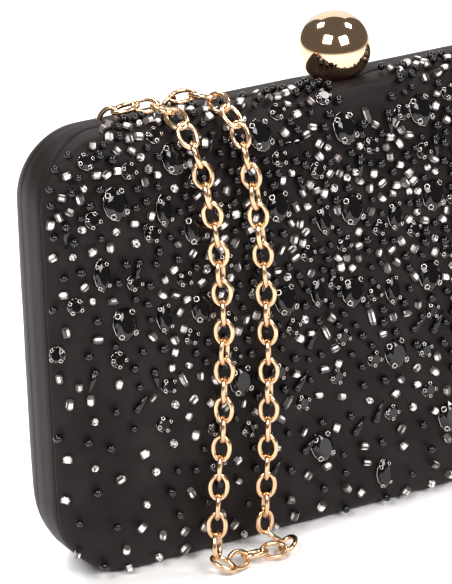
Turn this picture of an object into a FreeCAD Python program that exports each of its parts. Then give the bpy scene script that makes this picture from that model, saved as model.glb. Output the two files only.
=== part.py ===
"""Evening bag: a hard box clutch in two padded halves, with a ball clasp, a bottom hinge and a chain.

Frame: +X across the bag, the beaded front towards -Y, +Z up, millimetres. The origin is on the
surface the bag stands on, under the middle of the plane (Y = 0) where the two halves meet.
"""

import FreeCAD, Part
import math
import os
import Sketcher
from FreeCAD import Placement, Rotation, Vector

doc = FreeCAD.newDocument("EveningBag")

# ---------------------------------------------------------------- driving dimensions

SIZES = {
    "width": 172.0,  # outside, across
    "height": 112.0,  # outside, without the ball
    "top_radius": 16.0,  # corner radius of the outline, top
    "base_radius": 20.0,  # corner radius of the outline, bottom
    "band": 9.8,  # depth of the plain side band of the front half
    "wrap": 4.4,  # how near the front panel comes to the middle plane on top
    "rise": 7.2,  # how far the padded front stands out from the band
    "cushion": 24.0,  # width of the rounded margin of the padded front
    "back_depth": 19.25,  # depth of the back half, as far as the front half stands out with its stones
    "back_cushion": 30.0,  # width of the rounded margin of the back half
    "back_foot": 10.0,  # height of the rounded margin along the back's bottom edge
    "back_reveal": 0.4,  # the back half's outline is this much smaller at the meeting plane
    "satin": 0.8,  # cloth covers
    "board": 1.5,  # stiff trays
    "lining": 0.7,  # inside lining
    "back_padding": 1.0,  # wadding between the back tray and its cover
    "rim": 1.0,  # thickness of the metal frames
    "rim_depth": 5.0,  # depth of the metal frames
    "barrel": 1.3,  # radius of the hinge knuckles
    "hinge_pin": 0.6,  # radius of the hinge pin
    "hinge_gap": 1.6,  # half the slot along the bottom that the hinge sits in
    "hinge_length": 120.0,  # along the straight part of the bottom edge
    "hinge_slot": 147.0,  # length of that slot, which runs into the bottom corners
    "leaf": 0.8,  # thickness of the hinge leaves
    "leaf_reach": 6.0,  # how far a leaf lies into its tray
    "ball": 9.0,  # radius of the ball
    "ball_height": 118.2,  # height of the ball's centre
    "ball_flat": 109.6,  # height of the small flat under the ball
    "hollow": 9.5,  # radius of the round hollow in the top that the ball sits in
    "tilt_room": 3.4,  # how far that hollow runs on backwards, for the tilting ball
    "pivot_height": 98.0,  # height of the clasp lever's pivot
    "pivot_pin": 0.8,  # radius of the clasp's pivot pin
    "running": 0.05,  # radial clearance of a turning bore
    "chain": 5.2,  # outside diameter of the chain's links
    "slot_half": 3.6,  # half width of the slots that the chain comes out of
    "slot_left": -64.0,  # where the first end of the chain comes out
    "slot_right": -48.0,  # where the second end comes out
    "staple_bar": 103.5,  # height of the top of the bars that hold the chain's ends
    "stone_height": 2.0,  # how far the large stones stand out
}
sheet = doc.addObject("Spreadsheet::Sheet", "Sizes")
for row, (alias, value) in enumerate(SIZES.items(), start=1):
    sheet.set(f"A{row}", alias)
    sheet.set(f"B{row}", str(value))
    sheet.setAlias(f"B{row}", alias)
doc.recompute()


def size(alias):
    """Read one driving dimension back from the sheet, in millimetres."""
    return float(sheet.get(alias))


BIG = 400.0  # longer than the bag in any direction, for cutting tools
CUSHION_ANGLES = (0, 20, 40, 60, 78, 90)  # steps round the padded margins, in degrees
UPRIGHT = Rotation(Vector(1, 0, 0), 90)  # turns a flat sketch so that it stands facing -Y
ALONG_X = Rotation(Vector(0, 1, 0), 90)  # lays a cylinder along +X
parts = []


def name_part(obj, label):
    """Give a finished piece its name and put it on the list of pieces to write."""
    obj.Label = label
    parts.append(obj)
    return obj


def bind(obj, **expressions):
    """Bind properties of an object to expressions in the sheet's names."""
    for prop, expression in expressions.items():
        obj.setExpression(prop.replace("__", "."), expression)
    return obj


def cell(alias):
    """The expression that names one cell of the sheet."""
    return f"Sizes.{alias}"


# ---------------------------------------------------------------- outlines and blocks


def outline(name, inset, foot, place):
    """The bag's outline as a closed sketch facing -Y, about the middle of the bag's height.

    It stands at Y = place, smaller than the bag by inset at the sides and top and by foot at the base.
    """
    sketch = doc.addObject("Sketcher::SketchObject", name)
    sketch.Placement = Placement(Vector(0, 0, 0), UPRIGHT)
    bind(sketch, Placement__Base__y=place, Placement__Base__z=f"{cell('height')} / 2")
    side, half = size("width") / 2, size("height") / 2
    low, high = size("base_radius"), size("top_radius")
    corners = ((side - low, low - half, low, -90), (side - high, half - high, high, 0),
               (high - side, half - high, high, 90), (low - side, low - half, low, 180))
    arcs = []
    for x, z, radius, start in corners:
        circle = Part.Circle(Vector(x, z, 0), Vector(0, 0, 1), radius)
        turn = math.radians(start)
        arcs.append(Part.ArcOfCircle(circle, turn, turn + math.pi / 2))
    lines = [Part.LineSegment(arc.EndPoint, arcs[(i + 1) % 4].StartPoint) for i, arc in enumerate(arcs)]
    bends = sketch.addGeometry(arcs, False)
    sides = sketch.addGeometry(lines, False)
    for i, line in enumerate(sides):
        sketch.addConstraint(Sketcher.Constraint("Tangent", bends[i], 2, line, 1))
        sketch.addConstraint(Sketcher.Constraint("Tangent", line, 2, bends[(i + 1) % 4], 1))
        sketch.addConstraint(Sketcher.Constraint("Vertical" if i % 2 == 0 else "Horizontal", line))
    sketch.addConstraint(Sketcher.Constraint("Equal", bends[0], bends[3]))
    sketch.addConstraint(Sketcher.Constraint("Equal", bends[1], bends[2]))
    across, tall = f"{cell('width')} / 2 - ({inset})", f"{cell('height')} / 2"
    named = (("low", Sketcher.Constraint("Radius", bends[0], low), cell("base_radius")),
             ("high", Sketcher.Constraint("Radius", bends[1], high), cell("top_radius")),
             ("right", Sketcher.Constraint("DistanceX", -1, 1, sides[0], 1, side), across),
             ("left", Sketcher.Constraint("DistanceX", sides[2], 1, -1, 1, side), across),
             ("top", Sketcher.Constraint("DistanceY", -1, 1, sides[1], 1, half), f"{tall} - ({inset})"),
             ("base", Sketcher.Constraint("DistanceY", sides[3], 1, -1, 1, half), f"{tall} - ({foot})"))
    for label, constraint, expression in named:
        sketch.renameConstraint(sketch.addConstraint(constraint), label)
        sketch.setExpression(f"Constraints.{label}", expression)
    return sketch


def extrusion(name, sketch, depth):
    """Extrude a sketch along +Y by the expression depth."""
    block = doc.addObject("Part::Extrusion", name)
    block.Base, block.DirMode, block.Dir, block.Solid = sketch, "Custom", Vector(0, 1, 0), True
    return bind(block, LengthFwd=depth)


def loft(name, sections):
    """A straight-sided loft through sketches."""
    skin = doc.addObject("Part::Loft", name)
    skin.Sections, skin.Solid, skin.Ruled = sections, True, True
    return skin


def fuse(name, pieces):
    """One solid from several."""
    whole = doc.addObject("Part::MultiFuse", name)
    whole.Shapes, whole.Refine = pieces, False
    return whole


def cut(name, base, *tools):
    """The base without each of the tools."""
    for i, tool in enumerate(tools):
        piece = doc.addObject("Part::Cut", f"{name}{i}")
        piece.Base, piece.Tool = base, tool
        base = piece
    return base


def box(name, x, y, z):
    """A box between three (low, high) pairs of expressions or numbers."""
    block = doc.addObject("Part::Box", name)
    for prop, axis, (low, high) in (("Length", "x", x), ("Width", "y", y), ("Height", "z", z)):
        block.setExpression(f"Placement.Base.{axis}", f"{low}")
        block.setExpression(prop, f"({high}) - ({low})")
    return block


def rod(name, radius, length, x, y, z, lie=ALONG_X):
    """A cylinder that starts at x, y, z and lies along +X, or along +Z if lie is no rotation."""
    bar = doc.addObject("Part::Cylinder", name)
    bar.Placement = Placement(Vector(0, 0, 0), lie)
    return bind(bar, Radius=f"{radius}", Height=f"{length}", Placement__Base__x=f"{x}",
                Placement__Base__y=f"{y}", Placement__Base__z=f"{z}")


def front_block(name, skin):
    """The front half as one solid block: the flat band and the padded front, both skin smaller."""
    band = extrusion(f"{name}Band", outline(f"{name}Base", skin, skin, f"-{cell('band')}"), cell("band"))
    sections = []
    for i, angle in enumerate(CUSHION_ANGLES):
        inset = f"{skin} + {cell('cushion')} * (1 - cos({angle}))"
        place = f"-{cell('band')} - ({cell('rise')} - {skin}) * sin({angle})"
        sections.append(outline(f"{name}Step{i}", inset, inset, place))
    return fuse(name, [band, loft(f"{name}Cushion", sections)])


def back_block(name, skin):
    """The back half as one solid block, skin smaller all over; its foot stays flat to stand on."""
    sections = []
    for i, angle in enumerate(CUSHION_ANGLES):
        inset = f"{skin} + {cell('back_reveal')} + {cell('back_cushion')} * (1 - cos({angle}))"
        foot = f"{skin} + {cell('back_foot')} * (1 - cos({angle})) ^ 2"
        place = f"({cell('back_depth')} - {skin}) * sin({angle})"
        sections.append(outline(f"{name}Step{i}", inset, foot, place))
    return loft(name, sections)


def ring(name, outer, inner, start, depth):
    """A flat ring of the bag's outline between two insets, from Y = start over depth."""
    whole = extrusion(f"{name}Out", outline(f"{name}OutLine", outer, outer, start), depth)
    hole = extrusion(f"{name}In", outline(f"{name}InLine", inner, inner, start), depth)
    return cut(name, whole, hole)


# ---------------------------------------------------------------- shared cutting tools

wide = (f"-{BIG / 2}", f"{BIG / 2}")
hollows = []
for name, place in (("HollowFront", "0"), ("HollowBack", cell("tilt_room"))):
    hollow = doc.addObject("Part::Sphere", name)
    hollows.append(bind(hollow, Radius=cell("hollow"), Placement__Base__y=place,
                        Placement__Base__z=cell("ball_height")))
ball_hollow = fuse("BallHollow", [*hollows, box("StemSlot", (-2.2, 2.2), (-2.2, 4), (100, 118))])
chain_slots = fuse("ChainSlots", [
    box(f"Slot{side}", (f"{cell(side)} - {cell('slot_half')}", f"{cell(side)} + {cell('slot_half')}"),
        (f"-{cell('slot_half')}", cell("slot_half")), (cell("staple_bar"), 122))
    for side in ("slot_left", "slot_right")])
hinge_slot = box("HingeSlot", (f"-{cell('hinge_slot')} / 2", f"{cell('hinge_slot')} / 2"),
                 (f"-{cell('hinge_gap')}", cell("hinge_gap")), (-5, 12))
leaf_bed = box("LeafBed", (f"-{cell('hinge_length')} / 2 - 1.5", f"{cell('hinge_length')} / 2 + 1.5"),
               (f"-{cell('leaf_reach')} - 0.3", f"{cell('leaf_reach')} + 0.3"), (-5, 6))

# the front panel begins in front of this seam, which leans back over the top of the bag
seam = doc.addObject("Part::Feature", "SeamSide")
band, wrap, top = -size("band"), -size("wrap"), size("height")
BOW_BACK, BOW_DOWN = 0.29, 0.3  # where the curve passes, as shares of its lean and of the corner radius
PAST = 5.0  # how far the cutting face runs past the bag, above and below
AHEAD = -40.0  # its front edge, in front of everything
lean = [Vector(0, band, -PAST), Vector(0, band, top - size("top_radius")), Vector(0, wrap, top)]
bow_middle = Vector(0, band + BOW_BACK * (wrap - band), top - BOW_DOWN * size("top_radius"))
bow = Part.Arc(lean[1], bow_middle, lean[2])
rest = [lean[2], Vector(0, wrap, top + PAST), Vector(0, AHEAD, top + PAST), Vector(0, AHEAD, -PAST), lean[0]]
edges = [Part.LineSegment(lean[0], lean[1]).toShape(), bow.toShape()]
edges += [Part.LineSegment(a, b).toShape() for a, b in zip(rest, rest[1:])]
seam.Shape = Part.Face(Part.Wire(edges)).extrude(Vector(BIG, 0, 0))
seam.Placement = Placement(Vector(-BIG / 2, 0, 0), Rotation())

# ---------------------------------------------------------------- the front half

front_out = front_block("FrontOut", "0")
front_in = front_block("FrontIn", cell("satin"))
front_cloth = cut("FrontCloth", front_out, front_in)

panel = doc.addObject("Part::Common", "PanelCloth")
panel.Base, panel.Tool = front_cloth, seam
name_part(cut("Panel", panel, ball_hollow, hinge_slot), "front_panel")
name_part(cut("Side", front_cloth, seam, ball_hollow, chain_slots, hinge_slot), "front_side_cover")

tray_line = outline("TrayLine", cell("satin"), cell("satin"), f"-{cell('band')}")
tray_block = extrusion("TrayBlock", tray_line, cell("band"))
wadding = cut("Wadding", front_in, tray_block)
name_part(cut("Wad", wadding, ball_hollow), "front_padding")

inside = f"({cell('satin')} + {cell('board')})"
lined = f"({inside} + {cell('lining')})"
room_depth = f"{cell('band')} - {cell('board')}"
tray_room = extrusion("TrayRoom", outline("TrayRoomLine", inside, inside, f"{cell('board')} - {cell('band')}"),
                      room_depth)
front_tray = name_part(cut("Tray", tray_block, tray_room, ball_hollow, chain_slots, hinge_slot),
                       "front_shell")

lining_block = extrusion("LiningBlock", outline("LiningLine", inside, inside,
                                                f"{cell('board')} - {cell('band')}"),
                         f"{room_depth} - {cell('rim_depth')}")
lining_room = extrusion("LiningRoom", outline("LiningRoomLine", lined, lined,
                                              f"{cell('board')} + {cell('lining')} - {cell('band')}"),
                        cell("band"))
name_part(cut("Lining", lining_block, lining_room, ball_hollow, leaf_bed), "front_lining")

frame_ring = ring("FrameRing", inside, f"{inside} + {cell('rim')}", f"-{cell('rim_depth')}",
                  cell("rim_depth"))
front_rim = name_part(cut("Frame", frame_ring, ball_hollow, chain_slots, leaf_bed), "front_frame")

# ---------------------------------------------------------------- the back half

layers = {"Cover": "0", "Wad": cell("satin"), "Shell": f"({cell('satin')} + {cell('back_padding')})"}
layers["Liner"] = f"({layers['Shell']} + {cell('board')})"
layers["Room"] = f"({layers['Liner']} + {cell('lining')})"
layers["Rim"] = f"({layers['Liner']} + {cell('rim')})"
blocks = {name: back_block(f"Back{name}", skin) for name, skin in layers.items()}
mouth = box("Mouth", wide, (-1, cell("rim_depth")), wide)
openings = (ball_hollow, chain_slots, hinge_slot)
name_part(cut("BackCloth", blocks["Cover"], blocks["Wad"], *openings), "back_cover")
name_part(cut("BackWadding", blocks["Wad"], blocks["Shell"], *openings), "back_padding")
back_tray = name_part(cut("BackTray", blocks["Shell"], blocks["Liner"], *openings), "back_shell")
name_part(cut("BackLining", blocks["Liner"], blocks["Room"], mouth, ball_hollow, leaf_bed), "back_lining")
back_rim = doc.addObject("Part::Common", "BackRim")
back_rim.Base, back_rim.Tool = blocks["Liner"], mouth
name_part(cut("BackFrame", back_rim, blocks["Rim"], ball_hollow, chain_slots, leaf_bed), "back_frame")

# ---------------------------------------------------------------- the hinge

KNUCKLES = 12  # they belong to the front and the back leaf in turn
KNUCKLE_GAP = 0.1


def hinge_leaf(name, first, way, floor, tray):
    """One leaf of the hinge, bedded in its tray: way is -1 for the front and 1 for the back."""
    near, web, far = 0.2 * way, 1.5 * way, size("leaf_reach") * way
    edge = size("hinge_length") / 2
    pieces = [box(f"{name}Flange", (-edge, edge), sorted((web, far)), (floor, f"{floor} + {cell('leaf')}"))]
    step = size("hinge_length") / KNUCKLES
    for i in range(first, KNUCKLES, 2):
        start = i * step - edge + KNUCKLE_GAP
        end = start + step - 2 * KNUCKLE_GAP
        pieces.append(rod(f"{name}Knuckle{i}", cell("barrel"), end - start, start, 0, cell("barrel")))
        pieces.append(box(f"{name}Web{i}", (start, end), sorted((near, web)),
                          (cell("barrel"), f"{floor} + {cell('leaf')}")))
    leaf = fuse(f"{name}Leaf", pieces)
    extra = "0" if way < 0 else cell("running")
    bore = rod(f"{name}Bore", f"{cell('hinge_pin')} + {extra}", size("hinge_length"), -edge, 0,
               cell("barrel"))
    return cut(f"{name}Hinge", leaf, bore, tray)


name_part(hinge_leaf("Front", 0, -1, inside, front_tray), "front_hinge_leaf")
name_part(hinge_leaf("Back", 1, 1, layers["Liner"], back_tray), "back_hinge_leaf")
name_part(rod("HingePin", cell("hinge_pin"), cell("hinge_length"), f"-{cell('hinge_length')} / 2", 0,
              cell("barrel")), "hinge_pin")

# ---------------------------------------------------------------- the ball clasp

PIVOT = cell("pivot_height")
ARM_LOW, ARM_HIGH = 96.2, 97.6  # underside and top of the lever's arm
HOOK_TOP, LIP_LOW, LIP_HIGH = 99.2, 98.2, 106
SHELF_LOW, SHELF_HIGH = 88.0, 89.0
EAR_IN, EAR_OUT = 3.5, 4.5
EAR_LOW, EAR_HIGH, EAR_BACK = 96.0, 100.0, 1.6
ARM_HALF, ARM_END, HOOK_NEAR = 2.0, 9.0, 7.7
HUB_RADIUS, HUB_HALF, STEM_RADIUS = 1.9, 3.3, 1.5
BRACKET_HALF, BRACKET_TOP, BRACKET_THICK = 6.0, 103.0, 1.0
SHELF_HALF, SHELF_BACK = 3.0, 7.0
LIP_HALF, LIP_NEAR, LIP_FAR = 4.0, 6.0, 7.2

ball = doc.addObject("Part::Sphere", "Ball")
bind(ball, Radius=cell("ball"), Placement__Base__z=cell("ball_height"))
under_ball = box("UnderBall", wide, wide, (0, cell("ball_flat")))
name_part(cut("BallCut", ball, under_ball), "clasp_ball")

hub = rod("Hub", HUB_RADIUS, 2 * HUB_HALF, -HUB_HALF, 0, PIVOT)
arm = box("Arm", (-ARM_HALF, ARM_HALF), (0, ARM_END), (ARM_LOW, ARM_HIGH))
hook = box("Hook", (-ARM_HALF, ARM_HALF), (HOOK_NEAR, ARM_END), (ARM_HIGH, HOOK_TOP))
lever_bore = rod("LeverBore", f"{cell('pivot_pin')} + {cell('running')}", 2 * EAR_OUT, -EAR_OUT, 0, PIVOT)
name_part(cut("Lever", fuse("LeverBlank", [hub, arm, hook]), lever_bore), "clasp_lever")
stem = rod("StemRod", STEM_RADIUS, f"{cell('ball_flat')} - {PIVOT}", 0, 0, PIVOT, Rotation())
hub_seat = rod("HubSeat", HUB_RADIUS, 2 * HUB_HALF, -HUB_HALF, 0, PIVOT)
name_part(cut("Stem", stem, hub_seat), "clasp_stem")
name_part(rod("PivotPin", cell("pivot_pin"), 2 * EAR_OUT, -EAR_OUT, 0, PIVOT), "clasp_pivot_pin")

wall = f"{cell('board')} + {cell('lining')} - {cell('band')}"
bracket = fuse("BracketBlank", [
    box("BracketBase", (-BRACKET_HALF, BRACKET_HALF), (wall, f"{wall} + {BRACKET_THICK}"),
        (SHELF_LOW, BRACKET_TOP)),
    box("EarLeft", (-EAR_OUT, -EAR_IN), (wall, EAR_BACK), (EAR_LOW, EAR_HIGH)),
    box("EarRight", (EAR_IN, EAR_OUT), (wall, EAR_BACK), (EAR_LOW, EAR_HIGH)),
    box("Shelf", (-SHELF_HALF, SHELF_HALF), (wall, SHELF_BACK), (SHELF_LOW, SHELF_HIGH))])
pin_seat = rod("PinSeat", cell("pivot_pin"), 2 * EAR_OUT, -EAR_OUT, 0, PIVOT)
name_part(cut("Bracket", bracket, pin_seat), "clasp_bracket")

lip = doc.addObject("Part::Common", "Lip")
lip.Base = box("LipPlate", (-LIP_HALF, LIP_HALF), (LIP_NEAR, LIP_FAR), (LIP_LOW, LIP_HIGH))
lip.Tool = blocks["Room"]
name_part(lip, "catch_plate")

COIL_WIRE, COIL_RADIUS, COIL_AT = 0.25, 1.4, 5.0
COIL_TURNS = 5
coil_rise = ARM_LOW - SHELF_HIGH - 2 * COIL_WIRE
helix = Part.makeHelix(coil_rise / COIL_TURNS, coil_rise, COIL_RADIUS)
helix_start = helix.Edges[0].valueAt(helix.Edges[0].FirstParameter)
slope = helix.Edges[0].tangentAt(helix.Edges[0].FirstParameter)
section = Part.Wire([Part.Circle(helix_start, slope, COIL_WIRE).toShape()])
spring = doc.addObject("Part::Feature", "Spring")
spring.Shape = Part.Wire(helix.Edges).makePipeShell([section], True, True)
spring.Placement = Placement(Vector(0, COIL_AT, SHELF_HIGH + COIL_WIRE), Rotation())
name_part(spring, "clasp_spring")

# ---------------------------------------------------------------- the chain and its staples

BAR_DEPTH = (-2.4, -0.6)  # the staples lie just in front of the middle plane
BAR_TALL, LEG_WIDE, LEG_CLEAR = 1.5, 1.0, 1.2
for side, label in (("slot_left", "chain_staple_outer"), ("slot_right", "chain_staple_inner")):
    reach = f"({cell('slot_half')} + {LEG_CLEAR})"
    legs_top = f"{cell('height')} - {inside} - {cell('rim')}"
    low = f"{cell('staple_bar')} - {BAR_TALL}"
    near, far = f"{cell(side)} - {reach}", f"{cell(side)} + {reach}"
    staple = fuse(f"Staple{side}", [
        box(f"Bar{side}", (near, far), BAR_DEPTH, (low, cell("staple_bar"))),
        box(f"LegLow{side}", (near, f"{near} + {LEG_WIDE}"), BAR_DEPTH, (low, legs_top)),
        box(f"LegHigh{side}", (f"{far} - {LEG_WIDE}", far), BAR_DEPTH, (low, legs_top))])
    name_part(cut(f"StapleFit{side}", staple, front_rim), label)

# out of the top at the left, over the front edge, down to the ground, and back up beside itself
CHAIN_ROUTE = (
    (-64, 0, 103.5), (-64, 0, 108.6), (-63, -0.9, 114.2), (-58.8, -3.2, 117.0), (-54.8, -8, 117.6),
    (-52.7, -14, 115.2), (-50.8, -18.2, 110.4), (-49.2, -20.4, 104.2), (-48.0, -21.7, 95.5),
    (-46.4, -22.2, 86), (-45.5, -22, 74), (-45.3, -22.2, 62), (-45.6, -22, 50), (-46.3, -22.1, 38.5),
    (-47.5, -21.8, 28), (-48.4, -21.9, 19.5), (-49.0, -21.8, 12.4), (-49, -22.8, 7.4),
    (-47.6, -24.9, 4.1), (-44.6, -26.8, 2.7), (-40.3, -27.2, 2.7), (-35.6, -27, 2.7),
    (-31.2, -25.6, 2.8), (-28.6, -22.8, 4.6), (-28.4, -21, 8.6), (-30.2, -20.6, 12.8),
    (-32.8, -21, 17.2), (-34.5, -21.8, 24), (-33.9, -21.9, 35), (-33.4, -22.1, 47),
    (-33.4, -21.9, 59), (-33.6, -22.1, 71), (-34.3, -21.9, 82.5), (-35.3, -21.2, 93.5),
    (-36.5, -20, 103), (-37.3, -18, 109.6), (-38.1, -14, 115.0), (-39.2, -8.6, 117.6),
    (-42.4, -4.2, 117.4), (-46.7, -1.4, 114.6), (-48, 0, 109.6), (-48, 0, 103.5))


def rounded_path(points):
    """Straight runs joined by tangent arcs as large as their runs allow, and the arcs' radii."""
    points = [Vector(*p) for p in points]
    edges, radii, start = [], [], points[0]
    for before, corner, after in zip(points, points[1:], points[2:]):
        run_in, run_out = corner - before, after - corner
        half_turn = run_in.getAngle(run_out) / 2
        back = 0.45 * min(run_in.Length, run_out.Length)
        radius = back / math.tan(half_turn)
        run_in.normalize()
        run_out.normalize()
        enter, leave = corner - run_in * back, corner + run_out * back
        middle = corner + (run_out - run_in).normalize() * (radius / math.cos(half_turn) - radius)
        edges += [Part.LineSegment(start, enter).toShape(), Part.Arc(enter, middle, leave).toShape()]
        radii.append(radius)
        start = leave
    edges.append(Part.LineSegment(start, points[-1]).toShape())
    return Part.Wire(edges), radii


chain_line, chain_radii = rounded_path(CHAIN_ROUTE)
chain_section = Part.Circle(Vector(*CHAIN_ROUTE[0]), Vector(0, 0, 1), size("chain") / 2)
chain = doc.addObject("Part::Feature", "Chain")
chain.Shape = chain_line.makePipeShell([Part.Wire([chain_section.toShape()])], True, True)
chain.Placement = Placement(Vector(0, 0, 0), Rotation())
name_part(chain, "chain")

# ---------------------------------------------------------------- large stones on the front

# places of the large stones, (x, z), strewn densely over the top and the middle
OVALS = ((-70, 97), (-69, 67), (-53.5, 104.5), (-49.5, 87), (-48.5, 67), (-39, 46), (-30, 105.5), (-27, 88),
         (-26, 64), (-16.5, 23), (-7, 103), (-6.5, 83), (-7, 62), (5, 43), (14.5, 103.5), (16.5, 82),
         (15, 61.5), (20.7, 22), (35, 92), (36, 70), (38, 47), (50, 103), (54, 81), (53, 58), (70, 95),
         (71, 68), (42, 27))
NAVETTES = ((-74, 80), (-58.8, 66.5), (-57.5, 93), (-14.5, 82), (5.5, 79), (-16.8, 64), (4.2, 60), (2, 10.5),
            (27, 74), (45, 66), (46, 93), (62, 75), (62, 52))
OVAL_SIZE, NAVETTE_SIZE = (3.0, 4.0), (2.0, 4.0)  # half width and half height
SETTING_WALL, SETTING_HEIGHT = 0.3, 1.2


def panel_front(x, z):
    """The Y of the padded front's face at x, z, and its outward direction there."""
    def face(x, z):
        half = size("height") / 2
        radius = size("top_radius") if z > half else size("base_radius")
        over = Vector(abs(x) - size("width") / 2 + radius, abs(z - half) - half + radius, 0)
        beyond = Vector(max(over.x, 0), max(over.y, 0), 0).Length + min(max(over.x, over.y), 0)
        inset = min(max(radius - beyond, 0), size("cushion")) / size("cushion")
        return -size("band") - size("rise") * math.sqrt(1 - (1 - inset) ** 2)
    step = 0.5
    across = (face(x + step, z) - face(x - step, z)) / (2 * step)
    up = (face(x, z + step) - face(x, z - step)) / (2 * step)
    return face(x, z), Vector(across, -1, up).normalize()


def ellipse_block(half_width, half_height, depth):
    """An elliptical block on the XY plane, taller along Y than it is wide."""
    rim = Part.Ellipse(Vector(0, half_height, 0), Vector(half_width, 0, 0), Vector(0, 0, 0))
    return Part.Face(Part.Wire([rim.toShape()])).extrude(Vector(0, 0, depth))


def stones(name, places, half_size, label):
    """A group of equal stones on the front, and the group of the open settings that hold them."""
    stone = ellipse_block(*half_size, size("stone_height"))
    rim_size = [value + SETTING_WALL for value in half_size]
    setting = ellipse_block(*rim_size, SETTING_HEIGHT).cut(ellipse_block(*half_size, SETTING_HEIGHT))
    for shape, kind in ((stone, "stones"), (setting, "settings")):
        copies = []
        for x, z in places:
            depth, out = panel_front(x, z)
            copy = shape.copy()
            copy.Placement = Placement(Vector(x, depth, z) + out * 0.15, Rotation(Vector(0, 0, 1), out))
            copies.append(copy)
        group = doc.addObject("Part::Feature", f"{name}{kind}")
        group.Shape = Part.makeCompound(copies)
        name_part(group, f"{label}_{kind}")


stones("Oval", OVALS, OVAL_SIZE, "oval")
stones("Navette", NAVETTES, NAVETTE_SIZE, "navette")

# ---------------------------------------------------------------- check and write

doc.recompute()
for obj in doc.Objects:
    if "Invalid" in obj.State or "Error" in obj.State:
        raise RuntimeError(f"{obj.Name} ({obj.Label}) is {obj.State}")
os.makedirs("parts", exist_ok=True)
for part in parts:
    shape = part.Shape
    if shape.isNull() or not shape.isValid() or not shape.Solids:
        raise RuntimeError(f"{part.Label} has no valid solid")
    shape.exportStep(f"parts/{part.Label}.step")
    print(f"{part.Label}: {len(shape.Solids)} solids, {shape.Volume:.1f} mm3, "
          f"Z {shape.BoundBox.ZMin:.2f} to {shape.BoundBox.ZMax:.2f}")
tube = math.pi * (size("chain") / 2) ** 2 * chain_line.Length
print(f"chain: length {chain_line.Length:.1f}, volume {chain.Shape.Volume:.1f} against {tube:.1f}, "
      f"radii {' '.join(f'{radius:.1f}' for radius in chain_radii)}")
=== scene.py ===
"""Evening bag: a padded satin box clutch sewn with jet and silver-lined beads, a ball clasp and a chain.

Metres, +Z up, the beaded front towards -Y. Every size below is in millimetres and is turned into metres
by MM where a mesh is made.
"""

import logging
import math
import random
from dataclasses import dataclass, field
from enum import Enum
from typing import Callable, Iterable, Sequence

import bmesh
import bpy
import numpy as np
from mathutils import Euler, Matrix, Vector, noise


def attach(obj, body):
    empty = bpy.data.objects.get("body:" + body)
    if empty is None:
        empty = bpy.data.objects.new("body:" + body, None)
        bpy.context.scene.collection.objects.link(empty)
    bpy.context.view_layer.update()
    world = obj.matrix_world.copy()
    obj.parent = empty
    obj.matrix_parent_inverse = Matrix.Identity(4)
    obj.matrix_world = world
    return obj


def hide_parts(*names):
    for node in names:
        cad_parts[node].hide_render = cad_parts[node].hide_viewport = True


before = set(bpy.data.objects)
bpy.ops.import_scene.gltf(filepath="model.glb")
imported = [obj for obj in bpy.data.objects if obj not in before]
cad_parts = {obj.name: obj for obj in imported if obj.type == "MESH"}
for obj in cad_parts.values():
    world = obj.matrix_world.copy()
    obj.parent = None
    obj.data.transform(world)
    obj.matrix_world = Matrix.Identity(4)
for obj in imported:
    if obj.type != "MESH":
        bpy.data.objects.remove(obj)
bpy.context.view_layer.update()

MM = 0.001
LOG = logging.getLogger("evening_bag")
FRONT, BACK, CLASP = "front_half", "back_half", "clasp"
FILLING_FRAMES = 20  # how long the padding pushes on its cover
MIDDLE_REACH = 44  # half the line on which a closed face ends, in millimetres


# ------------------------------------------------------------------------------------------ node helpers


def linear(hex_colour: str, alpha: float = 1.0) -> tuple[float, float, float, float]:
    """Turn an sRGB hex colour into a linear colour.

    Args:
        hex_colour: six hex digits with a leading #.
        alpha: the fourth channel.

    Returns:
        Red, green, blue and alpha, linear.
    """
    channels = [int(hex_colour[i:i + 2], 16) / 255 for i in (1, 3, 5)]
    flat = [c / 12.92 if c <= 0.04045 else ((c + 0.055) / 1.055) ** 2.4 for c in channels]
    return (*flat, alpha)


def add_node(tree: bpy.types.NodeTree, kind: str, inputs: dict | None = None, **settings) -> bpy.types.Node:
    """Add one node to a tree, with its settings, values and links.

    Args:
        tree: the material's or geometry's node tree.
        kind: the node's type name.
        inputs: socket name or number to a value, or to the output socket that feeds it.
        settings: the node's own properties.

    Returns:
        The new node.
    """
    node = tree.nodes.new(kind)
    for name, value in settings.items():
        setattr(node, name, value)
    for key, value in (inputs or {}).items():
        if isinstance(value, bpy.types.NodeSocket):
            tree.links.new(value, node.inputs[key])
        else:
            node.inputs[key].default_value = value
    return node


def start_material(name: str) -> tuple[bpy.types.Material, bpy.types.NodeTree, bpy.types.Node]:
    """Make an empty node material.

    Args:
        name: the finish's name.

    Returns:
        The material, its tree and its Principled shader, already wired to the output.
    """
    material = bpy.data.materials.new(name)
    material.use_nodes = True
    tree = material.node_tree
    tree.nodes.clear()
    shader = add_node(tree, "ShaderNodeBsdfPrincipled")
    add_node(tree, "ShaderNodeOutputMaterial", {"Surface": shader.outputs["BSDF"]})
    return material, tree, shader


def object_coordinates(tree: bpy.types.NodeTree) -> bpy.types.NodeSocket:
    """The Object coordinate socket, in metres."""
    return add_node(tree, "ShaderNodeTexCoord").outputs["Object"]


# ------------------------------------------------------------------------------------------ finishes


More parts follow.
